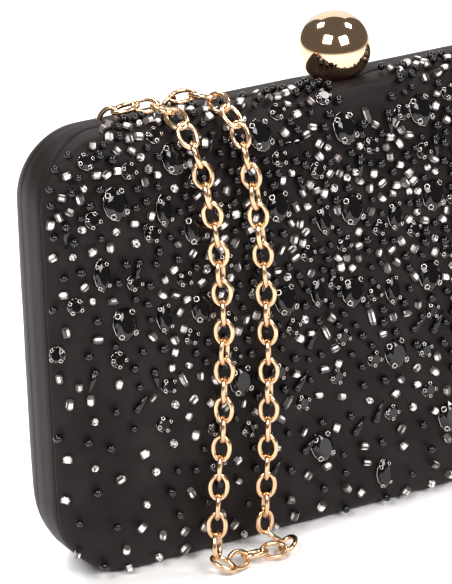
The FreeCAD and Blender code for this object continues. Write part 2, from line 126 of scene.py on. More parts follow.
@dataclass(frozen=True)
class Satin:
    """Black duchesse satin: a close warp face, soft sheen, faintly warm, with a slight slub."""

    name: str = "black_duchesse_satin"
    shade: str = "#161211"
    light: str = "#262020"
    roughness: float = 0.5
    sheen: float = 0.04
    thread_mm: float = 0.4  # real threads are 0.1 mm; drawn coarser so that the weave shows

    def make(self) -> bpy.types.Material:
        """Build the cloth: colour drifts over centimetres, and the weave is a fine diagonal bump."""
        material, tree, shader = start_material(self.name)
        place = object_coordinates(tree)
        drift = add_node(tree, "ShaderNodeTexNoise", {"Vector": place, "Scale": 70.0, "Detail": 4.0})
        spread = add_node(tree, "ShaderNodeMapRange", {"Value": drift.outputs["Fac"], "From Min": 0.32,
                                                       "From Max": 0.72})
        mix = add_node(tree, "ShaderNodeMix", {0: spread.outputs["Result"], 6: linear(self.shade),
                                               7: linear(self.light)}, data_type="RGBA")
        tree.links.new(mix.outputs[2], shader.inputs["Base Color"])
        turned = add_node(tree, "ShaderNodeMapping", {"Vector": place, "Rotation": (0.0, 0.6, 0.0)})
        weave = add_node(tree, "ShaderNodeTexWave", {
            "Vector": turned.outputs["Vector"], "Scale": 1.0 / (self.thread_mm * MM * 20 / math.pi),
            "Distortion": 4.0, "Detail": 3.0, "Detail Scale": 3.0}, bands_direction="X")
        slub = add_node(tree, "ShaderNodeTexNoise", {"Vector": place, "Scale": 1400.0, "Detail": 3.0})
        height = add_node(tree, "ShaderNodeMath", {0: weave.outputs["Fac"], 1: slub.outputs["Fac"]},
                          operation="ADD")
        bump = add_node(tree, "ShaderNodeBump", {"Height": height.outputs["Value"], "Strength": 0.25,
                                                 "Distance": 0.00008})
        tree.links.new(bump.outputs["Normal"], shader.inputs["Normal"])
        shader.inputs["Roughness"].default_value = self.roughness
        shader.inputs["Sheen Weight"].default_value = self.sheen
        shader.inputs["Sheen Roughness"].default_value = 0.35
        shader.inputs["Sheen Tint"].default_value = linear("#c9b8b2")
        shader.inputs["Specular IOR Level"].default_value = 0.11
        return material


@dataclass(frozen=True)
class LiningCloth:
    """Thin black acetate lining: smoother than satin, with fine ribs from the loom."""

    name: str = "black_acetate_lining"
    shade: str = "#1f1c1d"
    rib_mm: float = 0.6

    def make(self) -> bpy.types.Material:
        """Build the lining: one colour with fine horizontal ribs and a soft shine."""
        material, tree, shader = start_material(self.name)
        place = object_coordinates(tree)
        ribs = add_node(tree, "ShaderNodeTexWave", {
            "Vector": place, "Scale": 1.0 / (self.rib_mm * MM * 20 / math.pi), "Distortion": 0.8},
            bands_direction="Z")
        tone = add_node(tree, "ShaderNodeMix", {0: ribs.outputs["Fac"], 6: linear(self.shade),
                                                7: linear("#2b2728")}, data_type="RGBA")
        tree.links.new(tone.outputs[2], shader.inputs["Base Color"])
        bump = add_node(tree, "ShaderNodeBump", {"Height": ribs.outputs["Fac"], "Strength": 0.3,
                                                 "Distance": 0.0001})
        tree.links.new(bump.outputs["Normal"], shader.inputs["Normal"])
        shader.inputs["Roughness"].default_value = 0.42
        return material


@dataclass(frozen=True)
class Gilt:
    """Pale gold plating over brass: nearly a mirror on the ball, softer on the tumbled chain links."""

    name: str = "polished_pale_gold_plate"
    tone: str = "#f6dabb"
    deep: str = "#eec8a2"
    roughness: float = 0.07

    def make(self) -> bpy.types.Material:
        """Build the metal: two close golds and a slight variation in polish."""
        material, tree, shader = start_material(self.name)
        place = object_coordinates(tree)
        cloud = add_node(tree, "ShaderNodeTexNoise", {"Vector": place, "Scale": 160.0, "Detail": 2.0})
        mix = add_node(tree, "ShaderNodeMix", {0: cloud.outputs["Fac"], 6: linear(self.tone),
                                               7: linear(self.deep)}, data_type="RGBA")
        tree.links.new(mix.outputs[2], shader.inputs["Base Color"])
        polish = add_node(tree, "ShaderNodeMapRange", {
            "Value": cloud.outputs["Fac"], "To Min": self.roughness * 0.6, "To Max": self.roughness * 1.6})
        tree.links.new(polish.outputs["Result"], shader.inputs["Roughness"])
        shader.inputs["Metallic"].default_value = 1.0
        return material


@dataclass(frozen=True)
class JetGlass:
    """Jet: opaque black cut or pressed glass, with sharp white reflections."""

    name: str = "jet_black_glass"
    shade: str = "#0b0a0b"
    roughness: float = 0.04

    def make(self) -> bpy.types.Material:
        """Build the glass: almost black, its polish a little uneven from piece to piece."""
        material, tree, shader = start_material(self.name)
        grime = add_node(tree, "ShaderNodeTexNoise", {"Vector": object_coordinates(tree), "Scale": 300.0})
        polish = add_node(tree, "ShaderNodeMapRange", {
            "Value": grime.outputs["Fac"], "To Min": self.roughness, "To Max": self.roughness * 3})
        tree.links.new(polish.outputs["Result"], shader.inputs["Roughness"])
        shader.inputs["Base Color"].default_value = linear(self.shade)
        shader.inputs["IOR"].default_value = 1.5
        return material


@dataclass(frozen=True)
class SilverLined:
    """Silver-lined crystal: clear cut glass on a silvered bore; its facets carry painted highlights and
    painted reflections of the bore, one light and the next dark.
    """

    name: str = "silver_lined_crystal"
    # The three tones are one glass painted at three light levels: a painted highlight, a mid painted
    # reflection and a dark painted reflection of the silvered bore.
    painted_highlight: str = "#fffdfb"
    middle: str = "#a89c98"
    painted_dark_reflection: str = "#221e1d"

    def make(self) -> bpy.types.Material:
        """Build the bead: each facet takes its base colour from the random value stored on it, under a clear
        coat. The colour is a painted highlight, a mid painted reflection or a dark painted reflection.
        """
        material, tree, shader = start_material(self.name)
        painted_glint = add_node(tree, "ShaderNodeAttribute", attribute_name="painted_glint")
        low = add_node(tree, "ShaderNodeMapRange", {"Value": painted_glint.outputs["Fac"], "From Min": 0.2,
                                                    "From Max": 0.5})
        high = add_node(tree, "ShaderNodeMapRange", {"Value": painted_glint.outputs["Fac"], "From Min": 0.52,
                                                     "From Max": 0.62})
        first = add_node(tree, "ShaderNodeMix", {0: low.outputs["Result"], 6: linear(self.painted_dark_reflection),
                                                 7: linear(self.middle)}, data_type="RGBA")
        second = add_node(tree, "ShaderNodeMix", {0: high.outputs["Result"], 6: first.outputs[2],
                                                  7: linear(self.painted_highlight)}, data_type="RGBA")
        tree.links.new(second.outputs[2], shader.inputs["Base Color"])
        shader.inputs["Metallic"].default_value = 0.2
        shader.inputs["Roughness"].default_value = 0.3
        shader.inputs["Coat Weight"].default_value = 1.0
        shader.inputs["Coat Roughness"].default_value = 0.04
        return material


@dataclass(frozen=True)
class BrightMetal:
    """Bright nickel or steel, as on claws, pins and springs."""

    name: str = "bright_nickel_plate"
    tone: str = "#bdb6b2"
    roughness: float = 0.2

    def make(self) -> bpy.types.Material:
        """Build the metal with a fine unevenness in its polish."""
        material, tree, shader = start_material(self.name)
        cloud = add_node(tree, "ShaderNodeTexNoise", {"Vector": object_coordinates(tree), "Scale": 500.0})
        polish = add_node(tree, "ShaderNodeMapRange", {
            "Value": cloud.outputs["Fac"], "To Min": self.roughness * 0.6, "To Max": self.roughness * 1.5})
        tree.links.new(polish.outputs["Result"], shader.inputs["Roughness"])
        shader.inputs["Base Color"].default_value = linear(self.tone)
        shader.inputs["Metallic"].default_value = 1.0
        return material


@dataclass(frozen=True)
class MouldedTray:
    """Moulded black tray board, matt and slightly grained."""

    name: str = "moulded_black_tray"
    shade: str = "#1b1a1a"

    def make(self) -> bpy.types.Material:
        """Build the moulding with a fine grain."""
        material, tree, shader = start_material(self.name)
        grain = add_node(tree, "ShaderNodeTexNoise", {"Vector": object_coordinates(tree), "Scale": 1500.0})
        bump = add_node(tree, "ShaderNodeBump", {"Height": grain.outputs["Fac"], "Strength": 0.2,
                                                 "Distance": 0.0001})
        tree.links.new(bump.outputs["Normal"], shader.inputs["Normal"])
        shader.inputs["Base Color"].default_value = linear(self.shade)
        shader.inputs["Roughness"].default_value = 0.6
        return material


@dataclass(frozen=True)
class PaperSweep:
    """Matt white studio paper, very faintly warm."""

    name: str = "white_studio_paper"
    shade: str = "#fdfbfb"

    def make(self) -> bpy.types.Material:
        """Build the paper."""
        material, tree, shader = start_material(self.name)
        fibre = add_node(tree, "ShaderNodeTexNoise", {"Vector": object_coordinates(tree), "Scale": 900.0})
        bump = add_node(tree, "ShaderNodeBump", {"Height": fibre.outputs["Fac"], "Strength": 0.02})
        tree.links.new(bump.outputs["Normal"], shader.inputs["Normal"])
        shader.inputs["Base Color"].default_value = linear(self.shade)
        shader.inputs["Roughness"].default_value = 0.9
        return material


@dataclass
class Wardrobe:
    """Every finish of the bag, made once."""

    satin: bpy.types.Material = field(default_factory=lambda: Satin().make())
    lining: bpy.types.Material = field(default_factory=lambda: LiningCloth().make())
    gilt: bpy.types.Material = field(default_factory=lambda: Gilt().make())
    links: bpy.types.Material = field(default_factory=lambda: Gilt(
        "tumbled_pale_gold_plate", "#edcaa4", "#dcb48c", 0.2).make())
    jet: bpy.types.Material = field(default_factory=lambda: JetGlass().make())
    crystal: bpy.types.Material = field(default_factory=lambda: SilverLined().make())
    nickel: bpy.types.Material = field(default_factory=lambda: BrightMetal().make())
    tray: bpy.types.Material = field(default_factory=lambda: MouldedTray().make())


# ------------------------------------------------------------------------------------------ mesh helpers


def make_object(name: str, vertices: Sequence, faces: Sequence, materials: Sequence[bpy.types.Material],
                smooth: bool = True) -> bpy.types.Object:
    """Make a mesh object from points in metres.

    Args:
        name: the piece's name.
        vertices: the points.
        faces: tuples of point numbers.
        materials: the piece's material slots.
        smooth: whether faces are shaded smooth.

    Returns:
        The object, linked to the scene at the origin.
    """
    mesh = bpy.data.meshes.new(name)
    mesh.from_pydata([tuple(v) for v in vertices], [], [tuple(f) for f in faces])
    for material in materials:
        mesh.materials.append(material)
    mesh.polygons.foreach_set("use_smooth", [smooth] * len(mesh.polygons))
    mesh.update()
    piece = bpy.data.objects.new(name, mesh)
    bpy.context.scene.collection.objects.link(piece)
    return piece


def tidy_mesh(piece: bpy.types.Object, merge_mm: float = 0.01) -> bpy.types.Object:
    """Merge doubled points and turn every face outwards.

    Args:
        piece: the mesh object.
        merge_mm: how near two points are to be one.

    Returns:
        The same object.
    """
    work = bmesh.new()
    work.from_mesh(piece.data)
    bmesh.ops.remove_doubles(work, verts=work.verts, dist=merge_mm * MM)
    bmesh.ops.dissolve_degenerate(work, edges=work.edges, dist=merge_mm * MM / 2)
    bmesh.ops.recalc_face_normals(work, faces=work.faces)
    work.to_mesh(piece.data)
    work.free()
    return piece


def ring_faces(rings: int, points: int, closed: bool = True) -> list[tuple[int, int, int, int]]:
    """Quads between rings of points laid one after another.

    Args:
        rings: how many rings there are.
        points: how many points each has.
        closed: whether the last point of a ring joins the first.

    Returns:
        The faces.
    """
    last = points if closed else points - 1
    return [(r * points + i, r * points + (i + 1) % points, (r + 1) * points + (i + 1) % points,
             (r + 1) * points + i) for r in range(rings - 1) for i in range(last)]


def modified(piece: bpy.types.Object) -> bpy.types.Object:
    """Turn a piece with modifiers into a plain mesh.

    Args:
        piece: the object with live modifiers.

    Returns:
        The same object, with the evaluated mesh and no modifiers.
    """
    graph = bpy.context.evaluated_depsgraph_get()
    graph.update()
    mesh = bpy.data.meshes.new_from_object(piece.evaluated_get(graph))
    mesh.name = piece.name
    piece.modifiers.clear()
    piece.data = mesh
    return piece


# ------------------------------------------------------------------------------------------ the bag's form


@dataclass(frozen=True)
class Form:
    """The outside form that every cloth piece follows, in millimetres."""

    width: float = 172.0
    height: float = 112.0
    top_radius: float = 16.0
    base_radius: float = 20.0
    band: float = 9.8
    wrap: float = 4.4
    rise: float = 7.2
    cushion: float = 24.0
    hinge_slot: float = 147.0
    hinge_gap: float = 1.7
    brink: float = 0.3  # how far below the top the front turns over
    back_depth: float = 19.25
    back_cushion: float = 30.0
    back_foot: float = 10.0
    back_reveal: float = 0.12  # the closed halves look like one piece on top
    per_side: int = 36
    per_corner: int = 14

    def outline(self, inset: float, foot: float) -> list[tuple[float, float]]:
        """One ring of the bag's outline, anticlockwise seen from the front, starting low on the right.

        Args:
            inset: how much smaller it is at the sides and the top.
            foot: how much smaller it is at the base.

        Returns:
            (x, z) points, the same number in the same order for any inset.
        """
        side, low, high = self.width / 2 - inset, foot, self.height - inset
        small, big = self.top_radius, self.base_radius
        corners = ((side - big, low + big, big, -90), (side - small, high - small, small, 0),
                   (small - side, high - small, small, 90), (big - side, low + big, big, 180))
        ring: list[tuple[float, float]] = []
        for index, (x, z, radius, start) in enumerate(corners):
            for step in range(self.per_corner):
                turn = math.radians(start + 90 * step / self.per_corner)
                ring.append((x + radius * math.cos(turn), z + radius * math.sin(turn)))
            last = (x + radius * math.cos(math.radians(start + 90)),
                    z + radius * math.sin(math.radians(start + 90)))
            after = corners[(index + 1) % 4]
            begin = math.radians(after[3])
            first = (after[0] + after[2] * math.cos(begin), after[1] + after[2] * math.sin(begin))
            for step in range(self.per_side):
                share = step / self.per_side
                ring.append((last[0] + (first[0] - last[0]) * share, last[1] + (first[1] - last[1]) * share))
        return ring

    def seam(self, z: float) -> float:
        """The Y of the front panel's seam at a height: it leans back over the top corners."""
        share = min(max((z - self.height + self.top_radius) / self.top_radius, 0.0), 1.0)
        return -(self.band + (self.wrap - self.band) * (1 - math.sqrt(1 - share * share)))

    def inset(self, x: float, z: float) -> float:
        """How far inside the outline a point of the front is."""
        half = self.height / 2
        radius = self.top_radius if z > half else self.base_radius
        over_x, over_z = abs(x) - self.width / 2 + radius, abs(z - half) - half + radius
        return radius - math.hypot(max(over_x, 0), max(over_z, 0)) - min(max(over_x, over_z), 0)

    def crown(self, inset: float) -> float:
        """How far the middle of a padded face bulges beyond its flat, from the depth inside the outline."""
        return 0.6 * min(max((inset - self.cushion) / 30, 0), 1)

    def face(self, x: float, z: float) -> float:
        """The Y of the padded front's surface."""
        inset = max(self.inset(x, z), 0)
        share = 1 - min(inset, self.cushion) / self.cushion
        return -self.band - self.rise * math.sqrt(max(1 - share * share, 0)) - self.crown(inset)

    def clear_hinge(self, point: Vector, way: int) -> Vector:
        """Draw a cover's mouth back from the hinge along the bottom.

        Args:
            point: a point of the cover.
            way: 1 for the back half, -1 for the front half.

        Returns:
            The point, moved away from the hinge where it is over the slot.
        """
        if abs(point.x) < self.hinge_slot / 2 and point.z < 3.5 and point.y * way < self.hinge_gap:
            return Vector((point.x, self.hinge_gap * way, point.z))
        return point

    def spot(self, x: float, z: float) -> Vector:
        """A place on the padded front.

        Args:
            x: across the bag.
            z: up the bag; past the top edge it counts on, backwards along the top to the seam.

        Returns:
            The place.
        """
        past = z - self.height + self.brink
        if past <= 0:
            return Vector((x, self.face(x, z), z))
        start = self.face(x, self.height - self.brink)
        return Vector((x, start + past, self.height - self.brink * max(1 - past / 5, 0)))

    def out(self, x: float, z: float) -> Vector:
        """The outward direction of the padded front's surface, at the same coordinates as spot."""
        if z > self.height - self.brink:
            return Vector((0.0, -0.25, 1.0)).normalized()
        step = 0.5
        across = (self.face(x + step, z) - self.face(x - step, z)) / (2 * step)
        up = (self.face(x, z + step) - self.face(x, z - step)) / (2 * step)
        return Vector((across, -1.0, up)).normalized()


FORM = Form()


def close_rings(last: list[Vector], count: int, reach: float, crown: float) -> list[list[Vector]]:
    """Rings that run from a padded face's flat to a short line along its middle, and close it.

    Args:
        last: the ring where the rounded margin ends.
        count: how many rings.
        reach: half the length of the line that they end on.
        crown: how far the middle stands out, signed along Y.

    Returns:
        The rings, the last one folded onto the line.
    """
    middle = sum((p.z for p in last)) / len(last)
    rings = []
    for step in range(1, count + 1):
        share = step / count
        ring = []
        for point in last:
            target = Vector((min(max(point.x, -reach), reach), point.y, middle))
            moved = point.lerp(target, share)
            moved.y += crown * math.sin(share * math.pi / 2)
            ring.append(moved)
        rings.append(ring)
    return rings


# ------------------------------------------------------------------------------------------ cloth pieces


def swell(piece: bpy.types.Object, held: Callable[[Vector], float], cap: float, push: float) -> None:
    """Let a padded cover fill out by a short cloth simulation, then refine it once.

    Args:
        piece: the cover, as a plain mesh.
        held: how firmly a point, in millimetres, is held, from 0 to 1.
        cap: the most that a point may move, in millimetres.
        push: the pressure inside.
    """
    group = piece.vertex_groups.new(name="held")
    for vertex in piece.data.vertices:
        group.add([vertex.index], held(vertex.co / MM), "REPLACE")
    cloth = piece.modifiers.new("filling", "CLOTH")
    cloth.settings.vertex_group_mass = group.name
    cloth.settings.use_pressure = True
    cloth.settings.uniform_pressure_force = push
    cloth.settings.effector_weights.gravity = 0.0
    for step in range(1, FILLING_FRAMES + 1):
        bpy.context.scene.frame_set(step)
    filled = piece.evaluated_get(bpy.context.evaluated_depsgraph_get()).to_mesh()
    shifts = [filled.vertices[v.index].co - v.co for v in piece.data.vertices]
    piece.modifiers.clear()
    piece.vertex_groups.clear()
    LOG.info("%s: filled out by up to %.2f mm before the cap", piece.name,
             max(shift.length for shift in shifts) / MM)
    for vertex, shift in zip(piece.data.vertices, shifts):
        vertex.co += shift * min(cap * MM / max(shift.length, 1e-9), 1.0)
    bpy.context.scene.frame_set(1)
    finer = piece.modifiers.new("finer", "SUBSURF")
    finer.levels = finer.render_levels = 1
    modified(piece)
    for vertex in piece.data.vertices:
        vertex.co.z = max(vertex.co.z, 0.0)  # flat where it rests on the table


@dataclass
class FrontCover:
    """The padded satin front with its rolled edge, and the plain satin band round the sides."""

    steps: int = 12
    roll: float = 0.7
    push: float = 4.0
    filling_cap: float = 0.35
    ripple: float = 0.22
    ball_hollow: float = 9.3
    ball_height: float = 118.2

    def panel(self, satin: bpy.types.Material) -> bpy.types.Object:
        """The padded front panel.

        Args:
            satin: the cloth.

        Returns:
            The panel, riding on the front half.
        """
        rings: list[list[Vector]] = []
        edge = ((2.2, 1.0), (1.0, 0.75), (0.35, 0.25), (0.02, -0.45))
        for inset, back in edge:
            rings.append([Vector((x, FORM.seam(rim) + back, z)) for (x, z), (_, rim)
                          in zip(FORM.outline(inset, inset), FORM.outline(0, 0))])
        first = math.radians(7)
        for share in (0.33, 0.66):
            inset = share * FORM.cushion * (1 - math.cos(first))
            front = -FORM.band - FORM.rise * math.sin(first)
            rings.append([Vector((x, (FORM.seam(rim) - 0.45) * (1 - share) + front * share, z))
                          for (x, z), (_, rim) in zip(FORM.outline(inset, inset), FORM.outline(0, 0))])
        for step in range(self.steps + 1):
            angle = first + (math.pi / 2 - first) * step / self.steps
            inset = FORM.cushion * (1 - math.cos(angle))
            rings.append([Vector((x, -FORM.band - FORM.rise * math.sin(angle), z))
                          for x, z in FORM.outline(inset, inset)])
        rings += close_rings(rings[-1], 8, 44, -0.6)
        points = [self.dent(point) for ring in rings for point in ring]
        piece = make_object("satin_front_panel", [p * MM for p in points],
                            ring_faces(len(rings), len(rings[0])), [satin])
        tidy_mesh(piece)
        swell(piece, lambda place: 1.0 - min(max(FORM.inset(place.x, place.z) - 2, 0) / 6, 1),
              self.filling_cap, self.push)
        self.pucker(piece)
        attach(piece, FRONT)
        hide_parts("front_panel", "front_padding")
        return piece

    def dent(self, point: Vector) -> Vector:
        """Press a point out of the round hollow that the ball sits in."""
        centre = Vector((0, 0, self.ball_height))
        away = point - centre
        if away.length < self.ball_hollow and point.z > 100:
            point = centre + away.normalized() * self.ball_hollow
        return point

    def pucker(self, piece: bpy.types.Object) -> None:
        """Let the satin ripple very slightly where it is drawn round the padded margin.

        Args:
            piece: the panel.
        """
        for vertex in piece.data.vertices:
            x, _, z = (c / MM for c in vertex.co)
            inset = FORM.inset(x, z)
            margin = math.exp(-((inset - 6) / 7) ** 2)
            ripple = noise.noise(Vector((x * 0.11, 3.0, z * 0.11))) * self.ripple * (0.35 + margin)
            vertex.co += FORM.out(x, z) * ripple * MM

    def band(self, satin: bpy.types.Material) -> bpy.types.Object:
        """The plain band round the front half, turned in at the mouth and under the panel's seam.

        Args:
            satin: the cloth.

        Returns:
            The band, riding on the front half.
        """
        profile = ((2.3, 0.0, 0.0), (0.9, 0.0, 0.0), (0.08, 0.0, 0.0), (0.0, 0.0, -0.1), (0.0, 0.35, 0.0),
                   (0.0, 0.7, 0.0), (0.02, 1.0, 0.75), (0.3, 1.0, 0.25), (1.0, 1.0, 0.0), (2.2, 1.0, 0.3))
        rim = FORM.outline(0, 0)
        rings = []
        for inset, share, nudge in profile:
            rings.append([FORM.clear_hinge(self.dent(Vector((x, FORM.seam(edge) * share + nudge, z))), -1)
                          for (x, z), (_, edge) in zip(FORM.outline(inset, inset), rim)])
        piece = make_object("satin_side_band", [p * MM for ring in rings for p in ring],
                            ring_faces(len(rings), len(rim)), [satin])
        tidy_mesh(piece)
        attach(piece, FRONT)
        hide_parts("front_side_cover")
        return piece


@dataclass
class BackCover:
    """The plain padded satin back half."""

    steps: int = 14
    crown: float = 0.6  # how far its middle stands out past its margin
    filling_cap: float = 0.45
    ripple: float = 0.18

    def build(self, satin: bpy.types.Material) -> bpy.types.Object:
        """The back cover, from its turned-in mouth round to the closed middle.

        Args:
            satin: the cloth.

        Returns:
            The cover, riding on the back half.
        """
        front = FrontCover()
        rings: list[list[Vector]] = []
        for inset, y in ((3.2, 0.02), (1.3, 0.02), (0.24, 0.02), (0.13, 0.14)):
            rings.append([Vector((x, y, z)) for x, z in FORM.outline(inset, max(inset - 0.3, 0.04))])
        for step in range(self.steps + 1):
            angle = math.radians(4) + math.radians(86) * step / self.steps
            inset = FORM.back_reveal + FORM.back_cushion * (1 - math.cos(angle))
            foot = FORM.back_foot * (1 - math.cos(angle)) ** 2
            rings.append([Vector((x, FORM.back_depth * math.sin(angle), z))
                          for x, z in FORM.outline(inset, foot)])
        rings += close_rings(rings[-1], 8, MIDDLE_REACH, self.crown)
        points = [FORM.clear_hinge(front.dent(point), 1) for ring in rings for point in ring]
        piece = make_object("satin_back_cover", [p * MM for p in points],
                            ring_faces(len(rings), len(rings[0])), [satin])
        tidy_mesh(piece)
        swell(piece, lambda place: 1.0 - min(max(place.y - 2, 0) / 6, 1), self.filling_cap,
              front.push)
        for vertex in piece.data.vertices:
            x, _, z = (c / MM for c in vertex.co)
            ripple = noise.noise(Vector((x * 0.09, 9.0, z * 0.09))) * self.ripple
            vertex.co.y += ripple * MM * min(vertex.co.y / MM / 8, 1)
        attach(piece, BACK)
        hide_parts("back_cover", "back_padding")
        return piece


@dataclass
class Linings:
    """The thin cloth glued into each half, turned over at its rim, with slight slack in the middle."""

    slack: float = 0.3
    front_cut: tuple[float, float] = (0.174, 0.114)  # the flat cloth, in metres
    back_cut: tuple[float, float] = (0.166, 0.110)

    def lay(self, name: str, rings: list[list[Vector]], cloth: bpy.types.Material, body: str, node: str,
            shell: str, cut: tuple[float, float]) -> bpy.types.Object:
        """Lay one lining from its rim to its closed middle.

        Args:
            name: the piece's name.
            rings: the rim and the walls, in millimetres.
            cloth: the lining material.
            body: the half that it rides on.
            node: the CAD node that it stands for.
            shell: the node that it is glued into; not used.
            cut: width and height of the flat cloth, in metres; not used.

        Returns:
            The lining.
        """
        way = 1 if body == FRONT else -1
        rings = rings + close_rings(rings[-1], 10, MIDDLE_REACH, 0.0)
        points = []
        for number, ring in enumerate(rings):
            loose = self.slack * min(max(number - 4, 0) / 5, 1)
            for p in ring:
                wave = noise.noise(Vector((p.x * 0.05, 4.0 * way, p.z * 0.07)))
                points.append(p + Vector((0, way * loose * (0.6 + wave), 0)))
        piece = make_object(name, [p * MM for p in points], ring_faces(len(rings), len(rings[0])), [cloth])
        work = bmesh.new()
        work.from_mesh(piece.data)
        bmesh.ops.remove_doubles(work, verts=work.verts, dist=0.01 * MM)
        bmesh.ops.recalc_face_normals(work, faces=work.faces)
        middle = max(work.faces, key=lambda face: -abs(face.calc_center_median().x))
        if middle.normal.y * way < 0:
            bmesh.ops.reverse_faces(work, faces=work.faces)
        work.to_mesh(piece.data)
        work.free()
        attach(piece, body)
        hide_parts(node)
        return piece

    def front(self, cloth: bpy.types.Material) -> bpy.types.Object:
        """The front half's lining: a shallow tray."""
        profile = ((2.35, -5.0), (2.9, -5.0), (3.0, -5.15), (3.0, -6.0), (3.0, -6.9), (3.25, -7.4),
                   (4.2, -7.6), (8.0, -7.6))
        rings = [[Vector((x, y, z)) for x, z in FORM.outline(inset, inset)] for inset, y in profile]
        return self.lay("front_lining_cloth", rings, cloth, FRONT, "front_lining", "front_shell",
                        self.front_cut)

    def back(self, cloth: bpy.types.Material) -> bpy.types.Object:
        """The back half's lining: a dish that follows its shell."""
        skin, start = 4.0, 5.1
        deep = FORM.back_depth - skin
        first = math.asin(start / deep)
        rings = []
        for angle, extra in [(first, -0.65), (first, -0.1)] + [
                (first + (math.pi / 2 - first) * step / 12, 0.0) for step in range(1, 13)]:
            inset = 0.4 + skin + extra + FORM.back_cushion * (1 - math.cos(angle))
            foot = skin + extra + FORM.back_foot * (1 - math.cos(angle)) ** 2
            rings.append([Vector((x, deep * math.sin(angle), z)) for x, z in FORM.outline(inset, foot)])
        return self.lay("back_lining_cloth", rings, cloth, BACK, "back_lining", "back_shell",
                        self.back_cut)


# ------------------------------------------------------------------------------------------ chain


@dataclass
class Chain:
    """The cable chain, its links turned a quarter from one to the next, along a free route."""

    link_length: float = 7.4
    link_width: float = 5.4
    wire: float = 1.24
    pitch: float = 4.95
    length: float = 310.0
    lie: Vector = field(default_factory=lambda: Vector((-0.62, -0.78, 0.0)))  # where flat links face
    route: tuple = (
        (-64, 0, 103.5), (-64, 0, 108.6), (-62.5, -1, 113), (-59, -2, 114.5), (-55, -4, 115),
        (-52.5, -9, 115), (-51.5, -14, 114), (-50.8, -18.2, 110.4), (-49.2, -20.4, 104.2),
        (-48.0, -21.7, 95.5), (-46.4, -22.2, 86), (-45.5, -22, 74), (-45.3, -22.2, 62), (-45.6, -22, 50),
        (-46.3, -22.1, 38.5), (-47.5, -21.8, 28), (-48.4, -21.9, 19.5), (-49.0, -21.8, 12.4),
        (-49.5, -22.5, 7), (-50.5, -24.5, 3.5), (-49, -26.5, 2.5), (-45.5, -25, 2.5), (-41.5, -24, 2.5),
        (-37, -24.5, 2.5), (-33, -25.5, 2.5), (-30, -24, 2.5), (-31, -21.5, 3), (-34, -20.5, 4.5),
        (-35.5, -21, 9), (-35, -21.5, 16), (-34.5, -21.8, 24), (-33.9, -21.9, 35), (-33.4, -22.1, 47),
        (-33.4, -21.9, 59), (-33.6, -22.1, 71), (-34.3, -21.9, 82.5), (-35.3, -21.5, 93.5),
        (-36.5, -20.0, 103), (-37.3, -18.0, 109.6), (-38, -14, 113.5), (-39, -9, 115), (-42, -4.5, 115),
        (-46, -1.5, 114.5), (-48, 0, 109.6), (-48, 0, 103.5))

    def centreline(self) -> list[Vector]:
        """Points read along the chain's smooth line, in metres."""
        curve = bpy.data.curves.new("chain_line", "CURVE")
        curve.dimensions = "3D"
        spline = curve.splines.new("NURBS")
        spline.points.add(len(self.route) - 1)
        for point, place in zip(spline.points, self.route):
            point.co = (*(c * MM for c in place), 1.0)
        spline.order_u = 3
        spline.use_endpoint_u = True
        spline.resolution_u = 12
        holder = bpy.data.objects.new("chain_line", curve)
        bpy.context.scene.collection.objects.link(holder)
        mesh = bpy.data.meshes.new_from_object(holder.evaluated_get(bpy.context.evaluated_depsgraph_get()))
        line = [v.co.copy() for v in mesh.vertices]
        bpy.data.objects.remove(holder)
        bpy.data.meshes.remove(mesh)
        return line

    def stations(self, line: list[Vector]) -> list[tuple[Vector, Vector]]:
        """Evenly spaced places along the line, one for each link.

        Args:
            line: the centreline.

        Returns:
            (place, direction) pairs.
        """
        runs = [(b - a).length for a, b in zip(line, line[1:])]
        total = sum(runs)
        count = int((total - self.link_length * MM) / (self.pitch * MM)) + 1
        gap = (total - self.link_length * MM) / (count - 1)
        found, walked, index = [], 0.0, 0
        for link in range(count):
            goal = self.link_length * MM / 2 + gap * link
            while index < len(runs) - 1 and walked + runs[index] < goal:
                walked += runs[index]
                index += 1
            share = (goal - walked) / runs[index]
            low, high = max(index - 2, 0), min(index + 3, len(line) - 1)
            found.append((line[index].lerp(line[index + 1], share), (line[high] - line[low]).normalized()))
        return found

    def tree(self, gilt: bpy.types.Material) -> bpy.types.NodeTree:
        """The Geometry Nodes tree that puts an oval link on every point.

        Args:
            gilt: the metal.

        Returns:
            The tree, with the link's sizes as inputs.
        """
        tree = bpy.data.node_groups.new("cable_links", "GeometryNodeTree")
        tree.interface.new_socket("Geometry", in_out="INPUT", socket_type="NodeSocketGeometry")
        for name in ("Half length", "Half width", "Wire radius"):
            tree.interface.new_socket(name, in_out="INPUT", socket_type="NodeSocketFloat")
        tree.interface.new_socket("Geometry", in_out="OUTPUT", socket_type="NodeSocketGeometry")
        entry = add_node(tree, "NodeGroupInput")
        ring = add_node(tree, "GeometryNodeCurvePrimitiveCircle", {"Resolution": 24, "Radius": 1.0},
                        mode="RADIUS")
        stretch = add_node(tree, "ShaderNodeCombineXYZ", {
            "X": entry.outputs["Half length"], "Y": entry.outputs["Half width"], "Z": 1.0})
        oval = add_node(tree, "GeometryNodeTransform", {"Geometry": ring.outputs["Curve"],
                                                        "Scale": stretch.outputs["Vector"]})
        section = add_node(tree, "GeometryNodeCurvePrimitiveCircle", {
            "Resolution": 9, "Radius": entry.outputs["Wire radius"]}, mode="RADIUS")
        link = add_node(tree, "GeometryNodeCurveToMesh", {"Curve": oval.outputs["Geometry"],
                                                          "Profile Curve": section.outputs["Curve"]})
        turn = add_node(tree, "GeometryNodeInputNamedAttribute", {"Name": "turn"}, data_type="FLOAT_VECTOR")
        copies = add_node(tree, "GeometryNodeInstanceOnPoints", {
            "Points": entry.outputs["Geometry"], "Instance": link.outputs["Mesh"],
            "Rotation": turn.outputs["Attribute"]})
        finish_tree(tree, copies.outputs["Instances"], gilt, smooth=True)
        return tree

